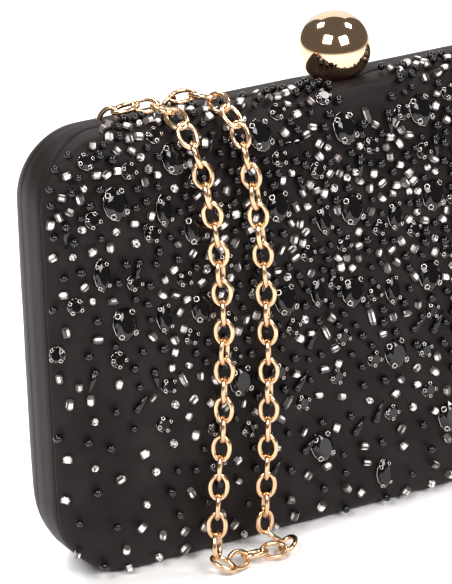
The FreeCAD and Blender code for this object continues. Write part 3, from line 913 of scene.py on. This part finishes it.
    def build(self, gilt: bpy.types.Material) -> bpy.types.Object:
        """The whole chain as one piece.

        Args:
            gilt: the metal.

        Returns:
            The chain, riding on the front half.
        """
        line = self.centreline()
        rng = random.Random(7)
        places, turns = [], []
        lean = Vector((0.0, -1.0, 0.0))
        for number, (place, along) in enumerate(self.stations(line)):
            lean = (lean - along * lean.dot(along)).normalized()
            flat = not 5.0 * MM < place.z < 111.5 * MM
            goal = Vector((0.0, 0.0, 1.0)) if flat else self.lie
            goal = (goal - along * goal.dot(along)).normalized()
            lean = lean.lerp(goal, 0.5).normalized()
            side = along.cross(lean).normalized()
            turned = (28 if number % 2 else -28) if flat else (90 if number % 2 else 0)
            spin = math.radians(rng.uniform(-14, 14) + turned)
            face = (lean * math.cos(spin) + side * math.sin(spin)).normalized()
            across = face.cross(along).normalized()
            turns.append(Matrix((along, across, face)).transposed().to_euler())
            places.append(place)
        piece = scatter("cable_chain", places, turns, self.tree(gilt),
                        {"Half length": (self.link_length - self.wire) / 2 * MM,
                         "Half width": (self.link_width - self.wire) / 2 * MM,
                         "Wire radius": self.wire / 2 * MM})
        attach(piece, FRONT)
        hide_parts("chain")
        total = sum((b - a).length for a, b in zip(line, line[1:]))
        LOG.info("chain: %d links over %.1f mm", len(places), total / MM)
        return piece


# ------------------------------------------------------------------------------------------ scattering


def finish_tree(tree: bpy.types.NodeTree, geometry: bpy.types.NodeSocket, material: bpy.types.Material,
                smooth: bool, striped: bool = False) -> None:
    """End a Geometry Nodes tree: real geometry, shading and the material.

    Args:
        tree: the tree.
        geometry: the socket with the instances.
        material: the finish.
        smooth: whether faces are shaded smooth.
        striped: whether each facet's painted highlight value holds along its length, with painted shade at
            the bead's ends.
    """
    real = add_node(tree, "GeometryNodeRealizeInstances", {"Geometry": geometry})
    shaded = add_node(tree, "GeometryNodeSetShadeSmooth", {"Geometry": real.outputs["Geometry"],
                                                           "Shade Smooth": smooth})
    # Each face gets a random value, which the crystal material turns into a painted highlight or a painted
    # reflection on that face.
    chance = add_node(tree, "FunctionNodeRandomValue", {"Seed": 11}, data_type="FLOAT")
    painted_glint = chance.outputs[1]
    if striped:
        marks = {name: add_node(tree, "GeometryNodeInputNamedAttribute", {"Name": name},
                                data_type="FLOAT").outputs["Attribute"] for name in ("bead", "facet", "end")}
        ident = add_node(tree, "ShaderNodeMath", {0: marks["bead"], 1: 32.0, 2: marks["facet"]},
                         operation="MULTIPLY_ADD")
        tree.links.new(ident.outputs[0], chance.inputs["ID"])
        # Faces near the bead's ends keep 0.4 of their value: painted shade at the ends.
        painted_end_shade = add_node(tree, "ShaderNodeMath", {0: marks["end"], 1: -0.6, 2: 1.0}, operation="MULTIPLY_ADD")
        glint_with_end_shade = add_node(tree, "ShaderNodeMath", {0: painted_glint, 1: painted_end_shade.outputs[0]}, operation="MULTIPLY")
        painted_glint = glint_with_end_shade.outputs[0]
    toned = add_node(tree, "GeometryNodeStoreNamedAttribute", {
        "Geometry": shaded.outputs["Geometry"], "Name": "painted_glint", "Value": painted_glint},
        data_type="FLOAT", domain="FACE")
    dressed = add_node(tree, "GeometryNodeSetMaterial", {"Geometry": toned.outputs["Geometry"],
                                                         "Material": material})
    add_node(tree, "NodeGroupOutput", {"Geometry": dressed.outputs["Geometry"]})


def scatter(name: str, places: Sequence[Vector], turns: Sequence[Euler], tree: bpy.types.NodeTree,
            sizes: dict[str, float], scales: Sequence[float] | None = None) -> bpy.types.Object:
    """Put a Geometry Nodes shape on every place and make the result a plain mesh.

    Args:
        name: the piece's name.
        places: points in metres.
        turns: one rotation for each point.
        tree: the tree to run.
        sizes: the tree's named inputs.
        scales: one size for each point, or None.

    Returns:
        The piece.
    """
    piece = make_object(name, places, [], [])
    turn = piece.data.attributes.new("turn", "FLOAT_VECTOR", "POINT")
    turn.data.foreach_set("vector", [c for e in turns for c in e])
    grow = piece.data.attributes.new("grow", "FLOAT", "POINT")
    grow.data.foreach_set("value", list(scales) if scales else [1.0] * len(places))
    bead = piece.data.attributes.new("bead", "FLOAT", "POINT")
    bead.data.foreach_set("value", [float(number) for number in range(len(places))])
    modifier = piece.modifiers.new("repeat", "NODES")
    modifier.node_group = tree
    for item in tree.interface.items_tree:
        if item.in_out == "INPUT" and item.name in sizes:
            modifier[item.identifier] = sizes[item.name]
    return modified(piece)


class Bead(Enum):
    """The kinds of small bead sewn on the front."""

    CUT_SEED = "silver_lined_seed_beads"
    ROUND_CRYSTAL = "round_silver_lined_beads"
    ROUND_JET = "round_jet_beads"
    SPIKE = "jet_spikes"
    BUGLE = "jet_bugles"
    CRYSTAL_BUGLE = "crystal_bugles"
    CHATON = "round_jet_stones"


@dataclass
class BeadShape:
    """Builds the Geometry Nodes tree of one kind of bead. Its long axis is Z."""

    kind: Bead
    material: bpy.types.Material

    def tree(self) -> bpy.types.NodeTree:
        """The tree that puts this bead on every point, with its radius and length as inputs."""
        tree = bpy.data.node_groups.new(self.kind.value, "GeometryNodeTree")
        tree.interface.new_socket("Geometry", in_out="INPUT", socket_type="NodeSocketGeometry")
        for name in ("Radius", "Length"):
            tree.interface.new_socket(name, in_out="INPUT", socket_type="NodeSocketFloat")
        tree.interface.new_socket("Geometry", in_out="OUTPUT", socket_type="NodeSocketGeometry")
        entry = add_node(tree, "NodeGroupInput")
        radius, length = entry.outputs["Radius"], entry.outputs["Length"]
        maker: dict[Bead, Callable] = {Bead.ROUND_JET: self.ball, Bead.ROUND_CRYSTAL: self.ball,
                                       Bead.SPIKE: self.spike}
        shape = maker.get(self.kind, self.tube)(tree, radius, length)
        turn = add_node(tree, "GeometryNodeInputNamedAttribute", {"Name": "turn"}, data_type="FLOAT_VECTOR")
        grow = add_node(tree, "GeometryNodeInputNamedAttribute", {"Name": "grow"}, data_type="FLOAT")
        copies = add_node(tree, "GeometryNodeInstanceOnPoints", {
            "Points": entry.outputs["Geometry"], "Instance": shape, "Rotation": turn.outputs["Attribute"],
            "Scale": grow.outputs["Attribute"]})
        finish_tree(tree, copies.outputs["Instances"], self.material,
                    smooth=self.kind in (Bead.ROUND_JET, Bead.SPIKE),
                    striped=self.kind in (Bead.CUT_SEED, Bead.CRYSTAL_BUGLE))
        return tree

    @staticmethod
    def scaled(tree: bpy.types.NodeTree, socket: bpy.types.NodeSocket, factor: float) -> bpy.types.NodeSocket:
        """A socket's value times a number."""
        return add_node(tree, "ShaderNodeMath", {0: socket, 1: factor}, operation="MULTIPLY").outputs[0]

    def tube(self, tree: bpy.types.NodeTree, radius: bpy.types.NodeSocket,
             length: bpy.types.NodeSocket) -> bpy.types.NodeSocket:
        """A short tube with ten lengthwise facets and drawn-in ends, each facet marked for its painted
        highlight stripe and the faces near each of its ends marked for painted shade.
        """
        sides = 10
        body = add_node(tree, "GeometryNodeMeshCylinder", {
            "Vertices": sides, "Side Segments": 5, "Radius": radius, "Depth": length}, fill_type="NGON")
        parts = add_node(tree, "ShaderNodeSeparateXYZ",
                         {0: add_node(tree, "GeometryNodeInputPosition").outputs["Position"]})
        angle = add_node(tree, "ShaderNodeMath", {0: parts.outputs["Y"], 1: parts.outputs["X"]},
                         operation="ARCTAN2")
        step = add_node(tree, "ShaderNodeMath", {0: angle.outputs[0], 1: sides / math.tau, 2: float(sides)},
                        operation="MULTIPLY_ADD")
        facet = add_node(tree, "ShaderNodeMath", {0: step.outputs[0]}, operation="FLOOR")
        height = add_node(tree, "ShaderNodeMath", {0: parts.outputs["Z"]}, operation="ABSOLUTE")
        # Faces further from the middle than 0.35 of the length are marked for painted shade.
        end = add_node(tree, "ShaderNodeMath", {0: height.outputs[0], 1: self.scaled(tree, length, 0.35)},
                       operation="GREATER_THAN")
        marked = add_node(tree, "GeometryNodeStoreNamedAttribute", {
            "Geometry": body.outputs["Mesh"], "Name": "facet", "Value": facet.outputs[0]},
            data_type="FLOAT", domain="FACE")
        ended = add_node(tree, "GeometryNodeStoreNamedAttribute", {
            "Geometry": marked.outputs["Geometry"], "Name": "end", "Value": end.outputs[0]},
            data_type="FLOAT", domain="FACE")
        tip = add_node(tree, "ShaderNodeMath", {0: height.outputs[0], 1: self.scaled(tree, length, 0.45)},
                       operation="GREATER_THAN")
        pull = add_node(tree, "ShaderNodeMath", {0: tip.outputs[0], 1: -0.09}, operation="MULTIPLY")
        inward = add_node(tree, "ShaderNodeCombineXYZ", {
            "X": add_node(tree, "ShaderNodeMath", {0: parts.outputs["X"], 1: pull.outputs[0]},
                          operation="MULTIPLY").outputs[0],
            "Y": add_node(tree, "ShaderNodeMath", {0: parts.outputs["Y"], 1: pull.outputs[0]},
                          operation="MULTIPLY").outputs[0]})
        drawn = add_node(tree, "GeometryNodeSetPosition", {"Geometry": ended.outputs["Geometry"],
                                                           "Offset": inward.outputs["Vector"]})
        return drawn.outputs["Geometry"]

    def ball(self, tree: bpy.types.NodeTree, radius: bpy.types.NodeSocket,
             length: bpy.types.NodeSocket) -> bpy.types.NodeSocket:
        """A round bead, a little flatter along its hole."""
        mesh = add_node(tree, "GeometryNodeMeshIcoSphere", {"Radius": radius, "Subdivisions": 2})
        squash = add_node(tree, "GeometryNodeTransform", {"Geometry": mesh.outputs["Mesh"],
                                                          "Scale": (1.0, 1.0, 0.88)})
        return squash.outputs["Geometry"]

    def spike(self, tree: bpy.types.NodeTree, radius: bpy.types.NodeSocket,
              length: bpy.types.NodeSocket) -> bpy.types.NodeSocket:
        """A pointed drop with a rounded head."""
        cone = add_node(tree, "GeometryNodeMeshCone", {
            "Vertices": 10, "Side Segments": 2, "Radius Top": self.scaled(tree, radius, 0.2),
            "Radius Bottom": self.scaled(tree, radius, 0.97), "Depth": length})
        head = add_node(tree, "GeometryNodeMeshIcoSphere", {"Radius": radius, "Subdivisions": 2})
        joined = add_node(tree, "GeometryNodeJoinGeometry")
        for part in (cone.outputs["Mesh"], head.outputs["Mesh"]):
            tree.links.new(part, joined.inputs["Geometry"])
        return joined.outputs["Geometry"]


# ------------------------------------------------------------------------------------------ stones


@dataclass(frozen=True)
class StoneCut:
    """One cut of large stone: its girdle, height and number of facets, in millimetres."""

    name: str
    half_width: float
    half_height: float
    depth: float
    sides: int
    pointed: float = 0.0

    def rim(self, scale: float, turn: float) -> list[tuple[float, float]]:
        """The outline of the stone at one height.

        Args:
            scale: its size against the girdle.
            turn: how far the corners are turned, in steps.

        Returns:
            (across, up) points.
        """
        found = []
        for step in range(self.sides):
            angle = 2 * math.pi * (step + turn) / self.sides
            across = math.cos(angle)
            if self.pointed:
                across = math.copysign(abs(across) ** (1 + self.pointed), across)
            found.append((self.half_width * scale * across, self.half_height * scale * math.sin(angle)))
        return found

    def rings(self) -> list[tuple[list[tuple[float, float]], float]]:
        """The stone from its back to its table: outline and height of each level."""
        return [(self.rim(0.80, 0), 0.15), (self.rim(1.0, 0), 0.34 * self.depth),
                (self.rim(1.0, 0), 0.44 * self.depth), (self.rim(0.80, 0.5), 0.78 * self.depth),
                (self.rim(0.56, 0), self.depth)]


OVAL = StoneCut("oval", 2.95, 3.95, 2.4, 12)
NAVETTE = StoneCut("navette", 1.95, 3.95, 2.2, 12, pointed=0.6)
CHATON = StoneCut("chaton", 1.95, 1.95, 1.7, 10)


@dataclass
class SewnStones:
    """Faceted stones in pronged settings, sewn on the front."""

    jet: bpy.types.Material
    nickel: bpy.types.Material

    corner: float = 50.0  # where the first claw stands, in degrees from the right
    curl: float = 0.27  # radius of a claw's curled end, against the stone's half width
    curl_wire: float = 0.17  # half the thickness there
    lean: float = 12.0  # the stones' tops are sewn down a little harder than their feet, in degrees

    def place(self, x: float, z: float, twist: float, lift: float) -> Matrix:
        """The place of a stone: its own Z is the front's outward direction, its Y up the bag.

        Args:
            x: across the bag.
            z: up the bag.
            twist: turned in its own plane, in radians.
            lift: how far it stands off the cloth.

        Returns:
            A matrix in millimetres.
        """
        out = FORM.out(x, z)
        across = Vector((0, 0, 1)).cross(out).normalized()
        up = out.cross(across)
        turn = Matrix((across, up, out)).transposed().to_4x4()
        turn = turn @ Matrix.Rotation(math.radians(-self.lean), 4, "X") @ Matrix.Rotation(twist, 4, "Z")
        return Matrix.Translation(Vector((x, FORM.face(x, z), z)) + out * lift) @ turn

    def stones(self, cut: StoneCut, spots: Sequence[tuple[float, float, float]], name: str,
               nodes: Sequence[str]) -> bpy.types.Object:
        """All stones of one cut as one piece.

        Args:
            cut: the stone.
            spots: (x, z, twist) of each.
            name: the piece's name.
            nodes: the CAD nodes that it stands for.

        Returns:
            The piece.
        """
        vertices: list[Vector] = []
        faces: list[tuple[int, ...]] = []
        for x, z, twist in spots:
            spot = self.place(x, z, twist, 0.0)
            base = len(vertices)
            rings = cut.rings()
            for rim, height in rings:
                vertices += [(spot @ Vector((a, b, height))) * MM for a, b in rim]
            n = cut.sides
            for level in range(len(rings) - 1):
                low, high = base + level * n, base + (level + 1) * n
                for i in range(n):
                    j = (i + 1) % n
                    if level < 2:
                        faces.append((low + i, low + j, high + j, high + i))
                    elif level == 2:
                        faces += [(low + i, low + j, high + i), (low + j, high + j, high + i)]
                    else:
                        faces += [(low + i, high + j, high + i), (low + i, low + j, high + j)]
            faces.append(tuple(base + (len(rings) - 1) * n + i for i in range(n)))
            faces.append(tuple(base + n - 1 - i for i in range(n)))
        piece = make_object(name, vertices, faces, [self.jet], smooth=False)
        tidy_mesh(piece, 0.001)
        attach(piece, FRONT)
        if nodes:
            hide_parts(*nodes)
        return piece

    def claws(self, cut: StoneCut, spots: Sequence[tuple[float, float, float]], name: str,
              nodes: Sequence[str], wire: float = 0.2) -> bpy.types.Object:
        """The open setting of each stone: a wire gallery round it and four curled claws over its edge.

        Args:
            cut: the stone that they hold.
            spots: (x, z, twist) of each.
            name: the piece's name.
            nodes: the CAD nodes that it stands for.
            wire: half the thickness of the wire.

        Returns:
            The piece.
        """
        vertices: list[Vector] = []
        faces: list[tuple[int, ...]] = []
        section = 6
        for x, z, twist in spots:
            spot = self.place(x, z, twist, 0.0)
            gallery = [Vector((a, b, 0.18 * cut.depth)) for a, b in cut.rim(1.0, 0)]
            self.wire(vertices, faces, spot, gallery, wire * 0.75, section, closed=True)
            for quarter in range(4):
                angle = math.radians(self.corner + 90 * quarter)
                radial = Vector((math.cos(angle), math.sin(angle), 0))
                root = Vector((cut.half_width * radial.x, cut.half_height * radial.y, 0.1)) + radial * 0.1
                head = root + Vector((0, 0, 0.62 * cut.depth)) - radial * 0.1
                self.wire(vertices, faces, spot, [root, head], wire, section, closed=False)
                facing = (Vector((0, 0, 1)) + radial * 0.45).normalized()
                side = facing.cross(radial).normalized()
                over = side.cross(facing)
                middle = head - radial * 0.4 + facing * 0.24
                ring = self.curl * min(cut.half_width, 2.4) ** 2 / 2.4
                turns = [math.tau * k / 8 for k in range(8)]
                curl = [middle + (side * math.cos(a) + over * math.sin(a)) * ring for a in turns]
                self.wire(vertices, faces, spot, curl, self.curl_wire * min(cut.half_width / 2.4, 1), section,
                          closed=True)
        piece = make_object(name, vertices, faces, [self.nickel])
        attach(piece, FRONT)
        if nodes:
            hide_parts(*nodes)
        return piece

    @staticmethod
    def wire(vertices: list[Vector], faces: list[tuple[int, ...]], spot: Matrix, path: Sequence[Vector],
             radius: float, section: int, closed: bool) -> None:
        """Sweep a round wire along a short path, into lists of points and faces.

        Args:
            vertices: the points so far, in metres.
            faces: the faces so far.
            spot: the place of the stone.
            path: the wire's middle, in millimetres.
            radius: half its thickness.
            section: how many sides it has.
            closed: whether it joins up with its start.
        """
        base, count = len(vertices), len(path)
        for i, point in enumerate(path):
            before = path[i - 1] if closed or i else point
            after = path[(i + 1) % count] if closed or i < count - 1 else point
            along = (after - before).normalized()
            side = along.cross(Vector((0.31, 0.17, 0.93))).normalized()
            over = along.cross(side)
            for k in range(section):
                angle = 2 * math.pi * k / section
                vertices.append((spot @ (point + (side * math.cos(angle) + over * math.sin(angle)) * radius))
                                * MM)
        spans = count if closed else count - 1
        for i in range(spans):
            low, high = base + i * section, base + ((i + 1) % count) * section
            faces += [(low + k, low + (k + 1) % section, high + (k + 1) % section, high + k)
                      for k in range(section)]
        if not closed:
            faces.append(tuple(base + k for k in reversed(range(section))))
            faces.append(tuple(base + (count - 1) * section + k for k in range(section)))


@dataclass
class Beadwork:
    """Everything sewn on the front: the large stones by pattern, the small beads by a seeded sowing."""

    wardrobe: Wardrobe
    seed: int = 20
    ovals: tuple = ((-70, 97), (-69, 67), (-53.5, 104.5), (-49.5, 87), (-48.5, 67), (-39, 46), (-30, 105.5),
                    (-27, 88), (-26, 64), (-16.5, 23), (-7, 103), (-6.5, 83), (-7, 62), (5, 43),
                    (14.5, 103.5), (16.5, 82), (15, 61.5), (20.7, 22), (35, 92), (36, 70), (38, 47),
                    (50, 103), (54, 81), (53, 58), (70, 95), (71, 68), (42, 27))
    navettes: tuple = ((-74, 80), (-58.8, 66.5), (-57.5, 93), (-14.5, 82), (5.5, 79), (-16.8, 64), (4.2, 60),
                       (2, 10.5), (27, 74), (45, 66), (46, 93), (62, 75), (62, 52))
    chatons: int = 78

    def gap(self, x: float, z: float) -> float:
        """The least distance between neighbouring beads at a place, in millimetres."""
        heights, gaps = (0, 14, 30, 46, 60, 76, 112), (5.3, 5.0, 4.4, 3.4, 2.75, 2.42, 2.4)
        up = float(np.interp(z, heights, gaps))
        return up + 1.5 * min(max((-x - 46) / 30, 0), 1) * min(max((96 - z) / 12, 0), 1)

    def sow(self) -> list[tuple[float, float, Bead]]:
        """Choose places and kinds for the small beads, none too near another or a stone.

        Returns:
            (x, z, kind) of each bead.
        """
        rng = random.Random(self.seed)
        cell = 8.0
        grid: dict[tuple[int, int], list[tuple[Vector, float]]] = {}

        def take(x: float, z: float, room: float) -> None:
            """Mark a place as used."""
            grid.setdefault((int(x // cell), int(z // cell)), []).append((FORM.spot(x, z), room))

        for x, z in self.ovals:
            for up in (-1.8, 1.8):
                take(x, z + up, 3.0)
        for x, z in self.navettes:
            for up in (-2.4, 0, 2.4):
                take(x, z + up, 2.1)
        found: list[tuple[float, float, Bead]] = []
        kinds = ([Bead.CHATON] * 10 + [Bead.CUT_SEED] * 42 + [Bead.ROUND_CRYSTAL] * 6
                 + [Bead.ROUND_JET] * 36 + [Bead.SPIKE] * 9 + [Bead.BUGLE] * 1 + [Bead.CRYSTAL_BUGLE] * 2)
        room = {Bead.CHATON: 2.15, Bead.CUT_SEED: 1.15, Bead.ROUND_CRYSTAL: 1.0, Bead.ROUND_JET: 1.0,
                Bead.SPIKE: 1.7, Bead.BUGLE: 1.5, Bead.CRYSTAL_BUGLE: 1.5}
        highest = FORM.height + 5.0  # on the top, a little short of the seam
        for trial in range(56000):
            x, z = rng.uniform(-85, 85), rng.uniform(2.3, highest)
            kind = rng.choice(kinds)
            if trial < 900:
                kind = Bead.CHATON
            thin = self.gap(x, z)
            over = z > FORM.height - FORM.brink
            if math.hypot(x - 0.5, z - 114.5) < 9.0 or (abs(x) > 69 if over else FORM.inset(x, z) < 0.5):
                continue
            if kind in (Bead.SPIKE, Bead.BUGLE, Bead.CRYSTAL_BUGLE) and FORM.inset(x, z) < 4.0:
                continue
            if over and kind not in (Bead.CUT_SEED, Bead.ROUND_CRYSTAL, Bead.ROUND_JET):
                continue
            if kind is Bead.CHATON and (thin > 4.6 or len(found) > self.chatons):
                continue
            own = room[kind]
            near = [spot for i in (-1, 0, 1) for k in (-1, 0, 1)
                    for spot in grid.get((int(x // cell) + i, int(z // cell) + k), ())]
            here = FORM.spot(x, z)
            if any((here - spot).length < max(own + r, thin if r < 2.9 else 0) for spot, r in near):
                continue
            if kind is Bead.CHATON and any(k is Bead.CHATON and math.hypot(x - a, z - b) < 9.5
                                           for a, b, k in found):
                continue
            take(x, z, own)
            found.append((x, z, kind))
        return found

    def lay(self, x: float, z: float, spin: float, height: float, tip: float = 0.0
            ) -> tuple[Vector, Euler]:
        """The place and rotation of a bead whose long axis lies along the cloth.

        Args:
            x: across the bag.
            z: up the bag.
            spin: the direction of its axis in the cloth's plane.
            height: how far its middle stands off the cloth.
            tip: how far the axis is raised from the cloth.

        Returns:
            The place in metres, and the rotation.
        """
        out = FORM.out(x, z)
        across = Vector((0, 0.05, 1)).cross(out).normalized()
        up = out.cross(across)
        axis = (across * math.cos(spin) + up * math.sin(spin)) * math.cos(tip) + out * math.sin(tip)
        side = out.cross(axis).normalized()
        turn = Matrix((side, axis.cross(side), axis)).transposed()
        return (FORM.spot(x, z) + out * height) * MM, turn.to_euler()

    def build(self) -> list[bpy.types.Object]:
        """Sew everything on.

        Returns:
            The pieces, one for each kind.
        """
        rng = random.Random(self.seed + 1)
        sown = self.sow()
        sizes = {Bead.CUT_SEED: (0.9, 2.15, "crystal"), Bead.ROUND_CRYSTAL: (1.0, 0.0, "crystal"),
                 Bead.ROUND_JET: (1.28, 0.0, "jet"), Bead.SPIKE: (1.1, 5.0, "jet"),
                 Bead.BUGLE: (0.55, 4.6, "jet"), Bead.CRYSTAL_BUGLE: (0.8, 4.0, "crystal")}
        pieces = []
        for kind, (radius, length, cloth) in sizes.items():
            places, turns, scales = [], [], []
            for x, z, what in sown:
                if what is not kind:
                    continue
                spin = rng.uniform(0, math.tau)
                if kind is Bead.SPIKE:
                    way = rng.choice((-90, -96, -125)) if z > 52 else 57
                    spin = math.radians(way + rng.gauss(0, 9))
                place, turn = self.lay(x, z, spin, radius * 0.95, math.radians(rng.uniform(-4, 8)))
                places.append(place)
                turns.append(turn)
                scales.append(rng.uniform(0.72, 1.06) if kind is Bead.ROUND_JET else rng.uniform(0.9, 1.1))
            material = getattr(self.wardrobe, cloth)
            piece = scatter(kind.value, places, turns, BeadShape(kind, material).tree(),
                            {"Radius": radius * MM, "Length": length * MM}, scales)
            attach(piece, FRONT)
            LOG.info("%s: %d beads, %d faces", kind.value, len(places), len(piece.data.polygons))
            pieces.append(piece)
        stones = SewnStones(self.wardrobe.jet, self.wardrobe.nickel)

        def twisted(spots: Iterable[tuple[float, float]]) -> list[tuple[float, float, float]]:
            """Turn each stone a little in its own plane."""
            return [(x, z, rng.gauss(0, 0.07)) for x, z in spots]

        round_spots = [(x, z, rng.uniform(0, 3)) for x, z, kind in sown if kind is Bead.CHATON]
        oval_spots, navette_spots = twisted(self.ovals), twisted(self.navettes)
        pieces.append(stones.stones(OVAL, oval_spots, "oval_jet_stones", ["oval_stones"]))
        pieces.append(stones.claws(OVAL, oval_spots, "oval_stone_claws", ["oval_settings"]))
        pieces.append(stones.stones(NAVETTE, navette_spots, "navette_jet_stones", ["navette_stones"]))
        pieces.append(stones.claws(NAVETTE, navette_spots, "navette_stone_claws", ["navette_settings"]))
        pieces.append(stones.stones(CHATON, round_spots, Bead.CHATON.value, []))
        pieces.append(stones.claws(CHATON, round_spots, "round_stone_claws", [], wire=0.14))
        return pieces


# ------------------------------------------------------------------------------------------ hardware


@dataclass
class BallClasp:
    """The polished ball and the small turned collar that it is set in."""

    radius: float = 9.0
    height: float = 118.2
    flat: float = 109.6

    def build(self, gilt: bpy.types.Material) -> bpy.types.Object:
        """Turn the ball as one closed shape.

        Args:
            gilt: the metal.

        Returns:
            The ball, riding on the clasp.
        """
        low = math.asin((self.flat - self.height) / self.radius)
        profile = [(0.0, self.flat), (self.radius * math.cos(low) * 0.9, self.flat)]
        steps = 48
        for step in range(steps + 1):
            angle = low + (math.pi / 2 - low) * step / steps
            profile.append((self.radius * math.cos(angle), self.height + self.radius * math.sin(angle)))
        around = 96
        rings = [[Vector((r * math.cos(math.tau * k / around), r * math.sin(math.tau * k / around), z)) * MM
                  for k in range(around)] for r, z in profile]
        piece = make_object("gold_ball", [p for ring in rings for p in ring], ring_faces(len(rings), around),
                            [gilt])
        tidy_mesh(piece, 0.002)
        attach(piece, CLASP)
        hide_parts("clasp_ball")
        return piece


@dataclass
class Hardware:
    """Dresses the CAD nodes that keep their own shape."""

    wardrobe: Wardrobe

    def dress(self) -> None:
        """Give each kept node its finish."""
        finishes = {
            "gilt": ("front_frame", "back_frame", "front_hinge_leaf", "back_hinge_leaf", "clasp_stem",
                     "clasp_lever", "clasp_bracket", "catch_plate", "chain_staple_outer",
                     "chain_staple_inner"),
            "nickel": ("hinge_pin", "clasp_pivot_pin", "clasp_spring"),
            "tray": ("front_shell", "back_shell"),
        }
        for finish, nodes in finishes.items():
            material = getattr(self.wardrobe, finish)
            for node in nodes:
                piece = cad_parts[node]
                for slot in piece.material_slots:
                    slot.material = material
                LOG.info("%s: %s", node, material.name)


# ------------------------------------------------------------------------------------------ the studio


@dataclass(frozen=True)
class Studio:
    """Camera, lights and floor."""

    azimuth: float = -28.7
    elevation: float = 21.3
    roll: float = 2.0
    distance: float = 835.0
    target: tuple[float, float, float] = (-32.3, 0.0, 61.5)
    focal_in_heights: float = 5.849  # focal length over the picture's height
    sensor: float = 36.0
    room_strength: float = 0.14

    def camera(self) -> None:
        """Set up the camera on the bag's left front, looking a little down."""
        a, e, r = (math.radians(v) for v in (self.azimuth, self.elevation, self.roll))
        back = Vector((math.sin(a) * math.cos(e), -math.cos(a) * math.cos(e), math.sin(e)))
        right = Vector((math.cos(a), math.sin(a), 0))
        up = back.cross(right)
        tilted_right = right * math.cos(r) - up * math.sin(r)
        tilted_up = right * math.sin(r) + up * math.cos(r)
        data = bpy.data.cameras.new("studio_camera")
        data.sensor_width = self.sensor
        data.lens = self.focal_in_heights * self.sensor
        data.clip_start, data.clip_end = 0.05, 50.0
        holder = bpy.data.objects.new("studio_camera", data)
        place = (Vector(self.target) + back * self.distance) * MM
        turn = Matrix((tilted_right, tilted_up, back)).transposed().to_4x4()
        holder.matrix_world = Matrix.Translation(place) @ turn
        bpy.context.scene.collection.objects.link(holder)
        bpy.context.scene.camera = holder

    def softbox(self, name: str, place: Sequence[float], aim: Sequence[float], size: Sequence[float],
                power: float, glossy: bool = True) -> None:
        """Hang one rectangular softbox.

        Args:
            name: its name.
            place: its middle, in metres.
            aim: where it points, in metres.
            size: width and height, in metres.
            power: watts.
            glossy: whether polished things mirror it.
        """
        data = bpy.data.lights.new(name, "AREA")
        data.shape, data.size, data.size_y = "RECTANGLE", size[0], size[1]
        data.energy = power
        lamp = bpy.data.objects.new(name, data)
        lamp.location = place
        lamp.visible_glossy = glossy
        lamp.rotation_euler = (Vector(aim) - Vector(place)).to_track_quat("-Z", "Y").to_euler()
        bpy.context.scene.collection.objects.link(lamp)

    def light(self) -> None:
        """Two softboxes by the camera, two smaller ones over it, a wash on the floor behind, a large
        softbox that stands for a pale wall, and a dim room."""
        heart = Vector((0.0, 0.0, 0.1))
        boxes = (("front_left", (-0.634, -0.419, 0.648), 1.05, 0.46, 7.6),
                 ("front_right", (0.09, -0.813, 0.572), 1.05, 0.46, 7.6),
                 ("over_left", (-0.309, 0.445, 0.84), 1.25, 0.3, 7.0),
                 ("over_right", (0.583, -0.11, 0.805), 1.25, 0.3, 7.0))
        for name, way, far, side, power in boxes:
            self.softbox(name, heart + Vector(way) * far, heart, (side, side), power)
        self.softbox("paper_wash", (0.15, 1.25, 0.75), (0.1, 0.45, 0.0), (1.6, 0.5), 18, glossy=False)
        self.softbox("white_wall", (1.06, 1.93, 1.3), (0.0, 0.0, 0.1), (2.2, 2.3), 17)
        world = bpy.data.worlds.new("studio")
        world.use_nodes = True
        world.node_tree.nodes["Background"].inputs["Color"].default_value = linear("#fff4ea")
        world.node_tree.nodes["Background"].inputs["Strength"].default_value = self.room_strength
        bpy.context.scene.world = world
        bpy.context.scene.view_settings.view_transform = "Standard"

    def floor(self) -> None:
        """Lay the white paper floor."""
        half = 6.0
        corners = [(-half, -half, 0), (half, -half, 0), (half, half, 0), (-half, half, 0)]
        sweep = make_object("paper_floor", corners, [(0, 1, 2, 3)], [PaperSweep().make()])


def report(pieces: Iterable[bpy.types.Object]) -> None:
    """Log each piece with its face count."""
    for piece in pieces:
        LOG.info("%s: %d faces", piece.name, len(piece.data.polygons))


def main() -> None:
    """Build the studio, then the chain, the cloth, the beadwork and the hardware."""
    logging.basicConfig(level=logging.INFO, format="%(message)s")
    studio = Studio()
    studio.camera()
    studio.light()
    studio.floor()
    wardrobe = Wardrobe()
    chain = Chain().build(wardrobe.links)
    cover = FrontCover()
    pieces = [chain, cover.panel(wardrobe.satin), cover.band(wardrobe.satin),
              BackCover().build(wardrobe.satin), BallClasp().build(wardrobe.gilt),
              Linings().front(wardrobe.lining), Linings().back(wardrobe.lining)]
    pieces += Beadwork(wardrobe).build()
    Hardware(wardrobe).dress()
    report(pieces)


if __name__ == "__main__":
    main()
